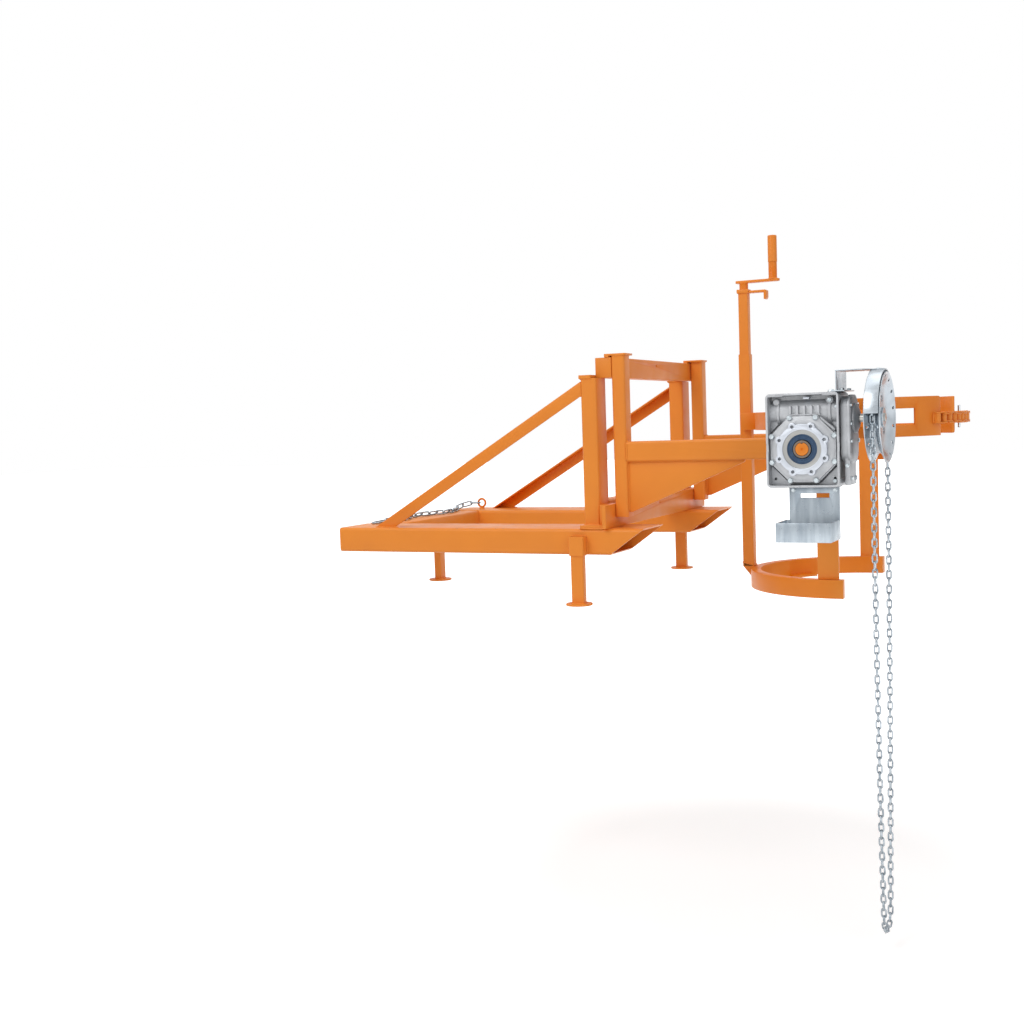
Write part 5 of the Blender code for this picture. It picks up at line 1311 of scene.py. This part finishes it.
    def flange(self) -> None:
        """Makes the machined output flange with its eight lugs, and the sunk face inside it."""
        root = self.cover_face - 0.002
        shape = bmesh.new()
        bmesh.ops.create_circle(shape, cap_ends=True, segments=192, radius=1.0)
        for vert in shape.verts:
            angle = math.atan2(vert.co.y, vert.co.x)
            off = (angle % (math.pi / 4)) - math.pi / 8
            reach = self.lug_radius ** 2 - (self.lug_circle * math.sin(off)) ** 2
            radius = 0.0672
            if reach > 0:
                radius = max(radius, self.lug_circle * math.cos(off) + math.sqrt(reach))
            vert.co = Vector((radius * math.cos(angle), radius * math.sin(angle), 0.0))
        raised = kind_of(bmesh.ops.extrude_face_region(shape, geom=shape.faces[:])["geom"], BMVert)
        bmesh.ops.translate(shape, vec=(0.0, 0.0, root - self.flange_face - 0.0002), verts=raised)
        bmesh.ops.transform(shape, matrix=self.front(0, root, 0), verts=shape.verts)
        tool = bmesh.new()
        add_rod(tool, 0.0520, -0.03, 0.03, self.front(0, self.cover_face, 0), 128, 0.0)
        for x, z in self.around(self.lug_circle):
            add_rod(tool, 0.0045, -0.004, 0.03, self.front(x, self.cover_face - 0.003, z), 24, 0.0)
        shape = carved(shape, tool)
        ease_edges(shape, 0.0006, 50.0)
        add_piece("output_flange", shape, FACED, "frame", (), 32.0)
        # The sunk face takes the darker copy of the faced metal: painted shade in the recess
        ring, sunk = bmesh.new(), 0.0042
        add_turned(ring, [
            (0.0405, sunk - 0.016), (0.0525, sunk - 0.016), (0.0525, -sunk), (0.0492, -sunk),
            (0.0485, -sunk - 0.0004), (0.0420, -sunk - 0.0004), (0.0405, -sunk),
        ], self.front(0, self.flange_face, 0), 96)
        add_piece("flange_floor", ring, SHADED_FLOOR_FACED, "frame")

    def shafts(self) -> None:
        """Makes the seal, and the hollow shaft with its key."""
        face = self.flange_face
        seal = bmesh.new()
        add_turned(seal, [
            (0.0250, -0.012), (0.0402, -0.012), (0.0402, -0.0050), (0.0390, -0.0044), (0.0372, -0.0044),
            (0.0365, -0.0056), (0.0300, -0.0060), (0.0290, -0.0050), (0.0264, -0.0050), (0.0250, -0.0066),
        ], self.front(0, face, 0), 96)
        stand_in("shaft_seal", seal, NITRILE, "frame")
        hollow = bmesh.new()
        low, high = face + 0.002, self.back - 0.0023
        add_turned(hollow, [
            (0.0179, low + 0.0008), (0.0187, low), (0.0232, low), (0.0240, low + 0.0008), (0.0240, high),
            (0.0179, high),
        ], Axis.Y.place((PIVOT.x, 0.0, PIVOT.z)), 64)
        stand_in("hollow_shaft", hollow, OILED_STEEL, "cradle")
        key = bmesh.new()
        self.slab(key, about(0.0, 0.0030), (face + 0.0010, face + 0.020), (0.0140, 0.0202), 0.0004)
        add_piece("shaft_key", key, OILED_STEEL, "cradle")

    def stage(self) -> None:
        """Makes the first stage with its lip, foot, cap, bolts and input shaft."""
        start = PIVOT.x + self.half_width + GAP
        low, high = PIVOT.z - 0.037, PIVOT.z + 0.137
        shape = bmesh.new()
        for near, far, grow, ease in ((0.0, 0.028, 0.0, 0.0022), (0.018, 0.026, 0.004, 0.0012)):
            part = block((start + near, self.middle - 0.050 - grow, low - grow),
                         (start + far, self.middle + 0.050 + grow, high + grow), 0, 0.034 + grow / 2, 10)
            ease_edges(part, ease, 50.0)
            absorb(shape, part)
        add_slab(shape, (start + 0.008, self.middle - 0.040, low - 0.062),
                 (start + 0.022, self.middle + 0.040, low + 0.02), 0.0022)
        for y, z in self.stage_spots():
            add_rod(shape, 0.0068, 0.016, 0.0272, Axis.X.place((start, y, z)), 32)
        stand_in("stage_housing", shape, CASTING, "frame", 32.0)
        cap = bmesh.new()
        add_turned(cap, [
            (0.0116, 0.0), (0.0400, 0.0), (0.0400, 0.0044), (0.0388, 0.0056), (0.0340, 0.0078), (0.0300, 0.0096),
            (0.0236, 0.0122), (0.0190, 0.0136), (0.0170, 0.0139), (0.0150, 0.0139), (0.0142, 0.0110),
            (0.0116, 0.0110),
        ], Axis.X.place((start + 0.0283, WHEEL.y, WHEEL.z)), 96)
        stand_in("input_cap", cap, CASTING, "frame")
        self.bolts(start)
        shaft = bmesh.new()
        add_rod(shaft, 0.011, 1.6573, 1.7450, Axis.X.place((0.0, WHEEL.y, WHEEL.z)), 48, 0.001)
        stand_in("input_shaft", shaft, SHAFT_STEEL, "hand_wheel")

    def bolts(self, start: float) -> None:
        """Sets the bolts of the gearbox.

        Args:
            start: Where the first stage starts, forward.
        """
        shape = bmesh.new()
        for y, z in self.stage_spots():
            add_bolt(shape, Axis.X.place((start + 0.0272, y, z)), 0.0100, 0.0042)
        for y in about(self.middle, 0.026):
            add_bolt(shape, Axis.X.place((start + 0.0219, y, PIVOT.z - 0.082)), 0.0100, 0.0042, 0.0012)
        add_bolt(shape, self.front(self.half_width + 0.0153, self.middle - 0.040, -0.047), 0.0100, 0.0042)
        for x, z in self.around(self.bolt_circle):
            add_bolt(shape, self.front(x, self.seat - 0.0134, z), 0.0130, 0.0056)
        for x, y, z, across, head in (
            (0.070, -0.5210, 0.129, 0.0110, 0.0048), (0.086, -0.5210, 0.111, 0.0070, 0.0030),
            (0.080, -0.5150, -0.0870, 0.0100, 0.0042),
        ):
            add_bolt(shape, self.front(x, y, z), across, head)
        add_piece("gearbox_bolts", shape, BOLT_ZINC, "frame", (), 25.0)

    def bearing(self) -> None:
        """Makes the cast bearing unit on the left arm."""
        at = Axis.Y.place((PIVOT.x, BEARING_FACE, PIVOT.z))
        (rear, front), (bottom, top) = about(PIVOT.x, 0.058), about(PIVOT.z, 0.058)
        square = block((rear, BEARING_FACE, bottom), (front, BEARING_FACE + 0.014, top), 1, 0.016, 8)
        ease_edges(square, 0.0016, 50.0)
        tool = bmesh.new()
        add_rod(tool, 0.0180, -0.05, 0.05, at, 48, 0.0)
        shape = carved(square, tool)
        add_turned(shape, [
            (0.0180, 0.006), (0.0470, 0.006), (0.0460, 0.0135), (0.0440, 0.0170), (0.0425, 0.0250), (0.0410, 0.0280),
            (0.0375, 0.0345), (0.0360, 0.0359), (0.0310, 0.0359), (0.0300, 0.0310), (0.0245, 0.0310),
            (0.0240, 0.0352), (0.0180, 0.0352),
        ], at, 96)
        stand_in("flange_bearing", shape, CASTING, "frame", 32.0)

    def build(self) -> None:
        """Makes the gearbox's pieces."""
        self.housing()
        self.cover()
        self.flange()
        self.shafts()
        self.stage()
        self.bearing()


# The chain drive


@dataclass
class ChainDrive:
    """The hand wheel, its chain, guard and tray."""

    wheel_radius: float = 0.120
    groove_radius: float = 0.0957
    groove_half: float = 0.0065
    half: float = 0.021
    web: float = 0.0035
    pitch: float = 0.020
    wire: float = 0.005
    link_width: float = 0.0165
    chain_radius: float = 0.1045
    drop: float = 1.3915
    toe: float = 0.050
    tray_x: Pair = (1.474, 1.621)

    def wheel(self) -> None:
        """Makes the wheel: two dished flanges and a groove, with their holes."""
        half, bottom, web, rim, groove = self.half, self.groove_half, self.web, self.wheel_radius, self.groove_radius
        shape = spun([
            (0.0113, -0.024), (0.0250, -0.024), (0.0260, -0.023), (0.0260, -web - 0.002), (0.0280, -web),
            (0.0837, -web), (0.0920, -bottom - 0.0015), (0.0945, -bottom - 0.0035), (rim - 0.0008, -half),
            (rim, -half + 0.0006), (rim, -half + 0.0025), (0.0965, -bottom), (groove, -bottom + 0.0012),
            (groove, bottom - 0.0012), (0.0965, bottom), (rim, half - 0.0025), (rim, half - 0.0006),
            (rim - 0.0008, half), (0.0945, bottom + 0.0035), (0.0920, bottom + 0.0015), (0.0837, web), (0.0280, web),
            (0.0260, web + 0.002), (0.0260, 0.011), (0.0250, 0.012), (0.0113, 0.012),
        ], Axis.X.place(WHEEL), 112)
        holes = [(spot, 0.0045, 20) for spot in polar(0.109, 14, 0.5)]
        holes += [(spot, 0.0090, 28) for spot in polar(0.052, 6, 0.25)]
        tool = bmesh.new()
        for (y, z), radius, steps in holes:
            add_rod(tool, radius, -0.04, 0.04, Axis.X.place((WHEEL.x, WHEEL.y + y, WHEEL.z + z)), steps, 0.0)
        stand_in("hand_wheel", carved(shape, tool), SHEET_ZINC, "hand_wheel", 32.0)

    def route(self) -> list[Vector]:
        """Gives the hand chain's loop: over the wheel, down, and round the open bottom."""
        points = [(self.chain_radius * math.cos(a), WHEEL.z + self.chain_radius * math.sin(a))
                  for a in (math.pi * i / 48 for i in range(49))]
        toe_z = WHEEL.z - self.drop + self.toe
        wide, toe = self.chain_radius, self.toe
        shares = [step / 60 for step in range(1, 60)]
        side = [(wide + (toe - wide) * t ** 2.2, WHEEL.z + (toe_z - WHEEL.z) * t) for t in shares]
        points += [(-y, z) for y, z in side]
        points += [(-toe * math.cos(a), toe_z - toe * math.sin(a)) for a in (math.pi * i / 24 for i in range(25))]
        points += side[::-1]
        points.append(points[0])
        return [Vector((WHEEL.x, WHEEL.y + y, z)) for y, z in points]

    def chain(self) -> None:
        """Makes the endless chain, its pitch fitted so that the last link meets the first."""
        route = self.route()
        total = sum((b - a).length for a, b in zip(route, route[1:]))
        count = 2 * round(total / self.pitch / 2)
        pitch = total / count
        for _ in range(12):
            touches = touch_points(route + route[1:3], pitch, count)
            miss = touches[-1] - route[0]
            pitch -= miss.dot((route[1] - route[0]).normalized()) / count
        touches[-1] = route[0]
        link = loft_link(pitch - 0.0002, self.wire, self.link_width, 6, 5)
        stand_in("hand_chain", lay_links(link, touches, Vector((1.0, 0.0, 0.0)), 0), LINK_ZINC, "frame", 70.0)

    def guard(self) -> None:
        """Makes the chain guard with its rivets and the screws of its foot."""
        refine("chain_guard", SHEET_ZINC, "frame", 0.0007)
        shape = bmesh.new()
        for y in (-0.045, 0.045):
            add_bolt(shape, Axis.Z.place((1.6405, WHEEL.y + y, 0.4553)), 0.0100, 0.0042, 0.0012)
            add_turned(shape, [(0.0, 0.0), (0.0045, 0.0), (0.0042, 0.0012), (0.0025, 0.0022), (0.0, 0.0026)],
                       Axis.Z.place((1.7290, WHEEL.y + y * 0.35, 0.5086)), 24)
        add_piece("guard_fixings", shape, BOLT_ZINC, "frame")

    def tray(self) -> None:
        """Makes the chain tray with its screws."""
        refine("chain_tray", TRAY_ZINC, "frame", 0.0008)
        low, high = self.tray_x
        shape = bmesh.new()
        for x in (low + 0.022, high - 0.012):
            add_bolt(shape, Axis.FRONT.place((x, -0.4806, 0.1885)), 0.0100, 0.0042, 0.0012)
        add_piece("tray_bolts", shape, BOLT_ZINC, "frame")

    def build(self) -> None:
        """Makes the drive's pieces."""
        self.wheel()
        self.chain()
        self.guard()
        self.tray()


# The cradle


@dataclass
class Cradle:
    """The tilting cradle: bands, straps, ring, shafts and mast."""

    mast_x: float = 1.234
    mast_half: float = 0.0175
    mast_z: Pair = (-0.0767, 0.587)
    inner_half: float = 0.015
    inner_z: Pair = (0.300, 0.776)
    collar: float = 0.012
    crank_z: float = 0.8075
    crank_reach: float = 0.0925
    band_outer: float = 0.3035
    eased: dict[str, float] = field(default_factory=lambda: {
        "belly_band": 0.0010, "side_plate_right": 0.0012, "side_plate_left": 0.0012, "strap_right": 0.0012,
        "strap_left": 0.0012, "bottom_ring": 0.0010, "tension_lug": 0.0014,
    })

    def shafts(self) -> None:
        """Turns the two shafts with their welded flanges."""
        base = self.band_outer + 0.0006 + 0.008
        for word, side, tip in (("right", -1, 0.5496), ("left", 1, BEARING_FACE + 0.0344)):
            profile = [
                (0.0, base), (0.039, base), (0.040, base + 0.001), (0.040, base + 0.007), (0.039, base + 0.008),
                (0.027, base + 0.0082), (0.0238, base + 0.0100), (0.0225, base + 0.0125), (0.0225, 0.3550),
                (0.0175, 0.3570), (0.0175, tip - 0.0012), (0.0163, tip), (0.0030, tip), (0.0015, tip - 0.0015),
                (0.0, tip - 0.0015),
            ]
            shape = bmesh.new()
            add_turned(shape, [(r, side * h) for r, h in profile], Axis.Y.place((PIVOT.x, 0.0, PIVOT.z)), 64)
            stand_in(f"shaft_{word}", shape, ENAMEL, "cradle", 32.0)

    def mast(self) -> None:
        """Makes the mast, its foot, and the inner mast with its collar."""
        x, half = self.mast_x, self.mast_half
        bottom, top = self.mast_z
        shape = bmesh.new()
        add_tube(shape, (x - half, -half, bottom), (x + half, half, top), 2, 0.0035, 0.0022)
        rear, face = x - half, DRUM_X - 0.3255 - GAP
        add_prism(shape, [
            (rear, bottom + 0.012), (rear, bottom), (face, bottom - 0.040), (face, bottom + 0.004),
            (rear + 0.004, bottom + 0.012),
        ], 2 * half, Axis.FRONT.place((0.0, half, 0.0)), 0.0010)
        stand_in("mast_tube", shape, ENAMEL, "cradle")
        shape = bmesh.new()
        inner = self.inner_half
        low, high = self.inner_z
        add_tube(shape, (x - inner, -inner, low), (x + inner, inner, high + 0.002), 2, 0.0030, 0.0025)
        add_slab(shape, (x - half - 0.001, -half - 0.001, high), (x + half + 0.001, half + 0.001, high + self.collar),
                 0.0012)
        stand_in("mast_inner", shape, ENAMEL, "inner_mast")
        refine("rim_hook", ENAMEL, "inner_mast", 0.0012)

    def crank(self) -> None:
        """Makes the crank arm with its hub, boss and pin, and the grip."""
        x, z, reach = self.mast_x, self.crank_z, self.crank_reach
        half, tip = 0.013, reach + 0.008
        outline = [(-0.0201, -half), (tip, -half)]
        for step in range(1, 12):
            angle = math.pi * step / 12
            outline.append((tip + half * math.sin(angle), -half * math.cos(angle)))
        outline += [(tip, half), (-0.0201, half), (-0.024, half * 0.6), (-0.024, -half * 0.6)]
        shape = bmesh.new()
        add_prism(shape, outline, 0.008, Axis.Z.place((x, 0.0, z)), 0.0012)
        add_turned(shape, [
            (0.0093, 0.7884), (0.0125, 0.7884), (0.0135, 0.7894), (0.0135, z - 0.002), (0.0150, z + 0.0005),
            (0.0, z + 0.0005), (0.0, z + 0.0002), (0.0093, z + 0.0002),
        ], Axis.Z.place((x, 0.0, 0.0)), 48)
        top = z + 0.008
        pin = Axis.Z.place((x + reach, 0.0, 0.0))
        add_turned(shape, [
            (0.0, top - 0.0010), (0.0160, top - 0.0010), (0.0138, top + 0.0016), (0.0130, top + 0.0030),
            (0.0130, top + 0.0490), (0.0122, top + 0.0500), (0.0065, top + 0.0500), (0.0065, top + 0.1280),
            (0.0, top + 0.1280),
        ], pin, 48)
        stand_in("crank_arm", shape, ENAMEL, "crank")
        low, high = top + 0.0503, top + 0.132
        grip = bmesh.new()
        add_turned(grip, [
            (0.0070, low), (0.0132, low), (0.0140, low + 0.0010), (0.0140, high - 0.0025), (0.0134, high - 0.0008),
            (0.0120, high), (0.0, high), (0.0, high - 0.0030), (0.0070, high - 0.0030),
        ], pin, 48)
        stand_in("grip_sleeve", grip, ENAMEL, "grip")

    def welds(self) -> None:
        """Lays the cradle's welds."""
        shape = bmesh.new()
        x, half = self.mast_x, self.mast_half
        out = self.band_outer + GAP
        middle = PIVOT.x + 0.012
        for _, side in SIDES:
            y = side * (out + 0.001)
            for edge in (middle - 0.030, middle + 0.030):
                add_bead(shape, (edge, y, 0.325), (edge, y, 0.421), 0.0030)
            add_bead(shape, (middle - 0.028, y, 0.424), (middle + 0.028, y, 0.424), 0.0030)
            add_bead(shape, (middle - 0.028, y, -0.0768), (middle + 0.028, y, -0.0768), 0.0030)
            add_turned(shape, [(0.0405 + r, h) for r, h in polar(0.0028, 8)],
                       Axis.Y.place((PIVOT.x, side * (out + 0.0083), PIVOT.z)), 72)
            joint = on_drum(self.band_outer, -42.0 if side < 0 else 222.0, 0.0)
            add_bead(shape, (joint.x, joint.y, 0.353), (joint.x, joint.y, 0.403), 0.0030)
        for y in (-half, half):
            add_bead(shape, (x + half, y, 0.354), (x + half, y, 0.402), 0.0026)
        add_bead_loop(shape, [(x - half, -half, -0.0650), (x + half, -half, -0.0740), (x + half, half, -0.0740),
                              (x - half, half, -0.0650)], 0.0024)
        add_piece("cradle_welds", shape, ENAMEL, "cradle", (), 80.0)

    def build(self) -> None:
        """Makes the cradle's pieces."""
        for node, width in self.eased.items():
            refine(node, ENAMEL, "cradle", width)
        self.shafts()
        self.mast()
        self.crank()
        self.welds()


# The clamp chain


@dataclass
class ClampChain:
    """The roller chain round the drum's front, its welded root, hook bolt and T-handle."""

    radius: float = 0.3138
    root: float = 55.8
    pitch: float = 0.0254
    count: int = 10
    z: float = 0.372
    plate: float = 0.0098
    roller: float = 0.0079
    pin: float = 0.0042
    inner: Pair = (0.0085, 0.0120)
    outer: Pair = (0.0123, 0.0158)
    lug_degrees: float = 120.84
    band_outer: float = 0.3035
    shoe: Pair = (-0.008, 0.004)

    def step(self) -> float:
        """Gives the degrees between two pins."""
        return math.degrees(2 * math.asin(self.pitch / 2 / self.radius))

    def at(self, index: int) -> Vector:
        """Gives a pin's place."""
        return on_drum(self.radius, self.root + self.step() * index, self.z)

    def skin(self, point: Vector) -> Matrix:
        """Gives a frame on the chain: X along the pull, Y away from the drum."""
        out = Vector((point.x - DRUM_X, point.y, 0.0)).normalized()
        along = Vector((-out.y, out.x, 0.0))
        turn = Matrix((along, out, Vector((0.0, 0.0, -1.0)))).transposed().to_4x4()
        return Matrix.Translation(point) @ turn

    def link_plate(self, shape: BMesh, start: Vector, end: Vector, low: float, high: float) -> None:
        """Adds a pair of link plates, round at both pins and waisted between.

        Args:
            shape: The mesh that grows.
            start: The first pin.
            end: The second pin.
            low: The near face of each plate, from the chain's middle.
            high: Its far face.
        """
        half = (end - start).length / 2
        ahead = (end - start).normalized()
        turn = Matrix((ahead, Vector((-ahead.y, ahead.x, 0.0)), Vector((0.0, 0.0, 1.0)))).transposed().to_4x4()
        middle = (start + end) / 2
        outline = []
        for side in (1, -1):
            for step in range(-6, 7):
                angle = math.radians(15 * step)
                outline.append((side * (half + self.plate * math.cos(angle)), side * self.plate * math.sin(angle)))
            outline.append((0.0, side * self.plate * 0.88))
        for sign in (-1, 1):
            floor = min(sign * low, sign * high)
            place = Matrix.Translation((middle.x, middle.y, self.z + floor)) @ turn
            add_prism(shape, outline, high - low, place, 0.0005)

    def pins(self, shape: BMesh, point: Vector, radius: float, half: float, steps: int = 32) -> None:
        """Adds an upright pin or roller through the chain.

        Args:
            shape: The mesh that grows.
            point: Where it stands.
            radius: Its radius.
            half: Half its length.
            steps: Facets round it.
        """
        add_rod(shape, radius, -half, half, Axis.Z.place((point.x, point.y, self.z)), steps, 0.0006)

    def run(self) -> None:
        """Makes the links that swing, and the root that is welded on."""
        low, high = self.inner, self.outer
        shape = bmesh.new()
        for index in range(1, self.count + 1):
            near, far = low if index % 2 else high
            self.link_plate(shape, self.at(index), self.at(index + 1), near, far)
        for index in range(1, self.count + 2):
            self.pins(shape, self.at(index), self.roller, low[0] + 0.0002)
            if index > 1:
                half = high[1] + 0.0014 if index <= self.count else low[1] + 0.0005
                self.pins(shape, self.at(index), self.pin, half, 24)
        stand_in("clamp_chain", shape, ENAMEL, "clamp_chain")
        shape = bmesh.new()
        self.link_plate(shape, self.at(0), self.at(1), *high)
        self.pins(shape, self.at(0), self.roller, high[1] - 0.0005)
        self.pins(shape, self.at(1), self.pin, high[1] + 0.0014, 24)
        place = self.skin(self.at(0))
        rear, front = self.shoe
        floor = self.radius - self.band_outer - 0.0008
        add_slab(shape, (rear, -floor, -high[1]), (front, 0.0, high[1]), 0.0010, place)
        seam = 0.001 - floor
        for z in (-high[1], high[1]):
            add_bead(shape, place @ Vector((rear, seam, z)), place @ Vector((front, seam, z)), 0.0024)
        add_bead(shape, place @ Vector((rear, seam, -high[1])), place @ Vector((rear, seam, high[1])), 0.0028)
        stand_in("chain_root", shape, ENAMEL, "cradle")

    def handle(self) -> None:
        """Makes the hook bolt's rod end and the T-handle nut."""
        degrees = self.root + self.step() * (self.count + 1)
        place = self.skin(on_drum(self.radius, degrees, self.z))
        lug = self.radius * math.tan(math.radians(self.lug_degrees - degrees)) + 0.008
        grip = lug + 0.012
        turn = place @ Matrix.Rotation(math.pi / 2, 4, "Y")
        shape = bmesh.new()
        add_turned(shape, [
            (0.0065, lug + GAP), (0.0102, lug + GAP), (0.0110, lug + 0.0011), (0.0110, grip + 0.0070),
            (0.0102, grip + 0.0080), (0.0065, grip + 0.0080),
        ], turn, 48)
        tips = [(0.0, -0.0350), (0.0026, -0.0346), (0.0040, -0.0334)]
        add_turned(shape, tips + [(r, -h) for r, h in reversed(tips)], place @ Matrix.Translation((grip, 0, 0)), 32)
        stand_in("t_handle", shape, BOLT_ZINC, "t_handle")
        refine("hook_bolt", ROD_STEEL, "clamp_chain", 0.0005)

    def build(self) -> None:
        """Makes the chain's pieces."""
        self.run()
        self.handle()


# The studio


@dataclass
class Studio:
    """The floor, the lamps and the camera."""

    height: float = -1.06
    lens: float = 45.70
    azimuth: float = math.radians(26.1016)
    elevation: float = math.radians(3.9201)
    roll: float = math.radians(-1.9959)
    eye: tuple[float, float, float] = (2.364, -4.005, 0.399)

    def floor(self) -> None:
        """Lays a pale floor that looks white to the camera."""
        shape = bmesh.new()
        bmesh.ops.create_grid(shape, x_segments=1, y_segments=1, size=40.0)
        bmesh.ops.translate(shape, vec=(0.0, 0.0, self.height), verts=shape.verts)
        mesh = bpy.data.meshes.new("floor")
        shape.to_mesh(mesh)
        shape.free()
        ground = bpy.data.objects.new("floor", mesh)
        bpy.context.scene.collection.objects.link(ground)
        made, tree, shader, place = blank_material("pale_floor")
        shader.inputs["Base Color"].default_value = (0.86, 0.86, 0.86, 1.0)
        shader.inputs["Roughness"].default_value = 0.9
        shader.inputs["Emission Color"].default_value = (1.0, 1.0, 1.0, 1.0)
        away = add_node(tree, "Mapping", {"Location": (-0.12, 0.0, 0.0), "Scale": (0.1, 0.1, 0.0)}, {"Vector": place})
        far = add_node(tree, "VectorMath", links={0: away.outputs[0]}, operation="LENGTH").outputs["Value"]
        glow = ramp(tree, far, [(0.06, 0.30), (0.24, 1.0)])
        path = add_node(tree, "LightPath")
        seen = add_node(tree, "Math", links={0: path.outputs["Is Camera Ray"], 1: path.outputs["Is Glossy Ray"]},
                        operation="MAXIMUM")
        white = add_node(tree, "Math", links={0: seen.outputs[0], 1: glow}, operation="MULTIPLY")
        tree.links.new(white.outputs[0], shader.inputs["Emission Strength"])
        mesh.materials.append(made)

    def lamp(self, name: str, place: Point, aim: Point, size: float, power: float) -> None:
        """Hangs a square soft lamp.

        Args:
            name: The lamp's name.
            place: Where it hangs.
            aim: The point that it faces.
            size: Its side.
            power: Its power in watts.
        """
        light = bpy.data.lights.new(name, "AREA")
        light.size = size
        light.energy = power
        lamp = bpy.data.objects.new(name, light)
        lamp.location = place
        lamp.rotation_euler = (Vector(aim) - Vector(place)).to_track_quat("-Z", "Y").to_euler()
        bpy.context.scene.collection.objects.link(lamp)

    def light(self) -> None:
        """Lights the object from the front and above, with a pale sky all round."""
        world = bpy.data.worlds.new("pale_sky")
        world.use_nodes = True
        tree = world.node_tree
        tree.nodes["Background"].inputs["Color"].default_value = (1.0, 1.0, 1.0, 1.0)
        tree.nodes["Background"].inputs["Strength"].default_value = 0.50
        seen = add_node(tree, "Background", {"Color": (1.0, 1.0, 1.0, 1.0), "Strength": 1.0})
        path = add_node(tree, "LightPath")
        glossy = add_node(tree, "Math", links={0: path.outputs["Is Camera Ray"], 1: path.outputs["Is Glossy Ray"]},
                          operation="MAXIMUM")
        mix = add_node(tree, "MixShader", links={
            0: glossy.outputs[0], 1: tree.nodes["Background"].outputs[0], 2: seen.outputs[0]})
        tree.links.new(mix.outputs[0], tree.nodes["World Output"].inputs["Surface"])
        bpy.context.scene.world = world
        aim = (1.2, 0.0, 0.2)
        self.lamp("key", (-0.6, -3.6, 3.4), aim, 3.0, 90.0)
        self.lamp("fill", (5.0, -3.0, 1.6), aim, 3.0, 38.0)
        self.lamp("top", (1.0, 0.5, 4.2), aim, 3.5, 44.0)

    def camera(self) -> None:
        """Stands the camera where the photograph was taken from."""
        data = bpy.data.cameras.new("camera")
        data.lens = self.lens
        data.sensor_width = 36.0
        eye = bpy.data.objects.new("camera", data)
        flat, rise = self.azimuth, self.elevation
        back = Vector((math.sin(flat) * math.cos(rise), -math.cos(flat) * math.cos(rise), math.sin(rise)))
        right = Vector((math.cos(flat), math.sin(flat), 0.0))
        up = back.cross(right)
        side = right * math.cos(self.roll) + up * math.sin(self.roll)
        top = up * math.cos(self.roll) - right * math.sin(self.roll)
        turn = Matrix((side, top, back)).transposed().to_4x4()
        eye.matrix_world = Matrix.Translation(self.eye) @ turn
        bpy.context.scene.collection.objects.link(eye)
        bpy.context.scene.camera = eye

    def build(self) -> None:
        """Sets up the studio."""
        self.floor()
        self.light()
        self.camera()
        bpy.context.scene.view_settings.view_transform = "Standard"


def dress_bare_nodes() -> None:
    """Gives the finish of each CAD node that shows as it is."""
    plain = {"worm": WORM_STEEL, "worm_wheel": BRONZE, "screw": SCREW_STEEL, "screw_nut": SCREW_STEEL}
    for node, finish in plain.items():
        WARDROBE.dress(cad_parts[node], finish)


def main() -> None:
    """Builds the tipper's looks in order."""
    logging.basicConfig(level=logging.INFO, format="%(name)s %(message)s")
    CarrierFrame().build()
    Gearbox().build()
    ChainDrive().build()
    Cradle().build()
    ClampChain().build()
    dress_bare_nodes()
    Studio().build()


if __name__ == "__main__":
    main()
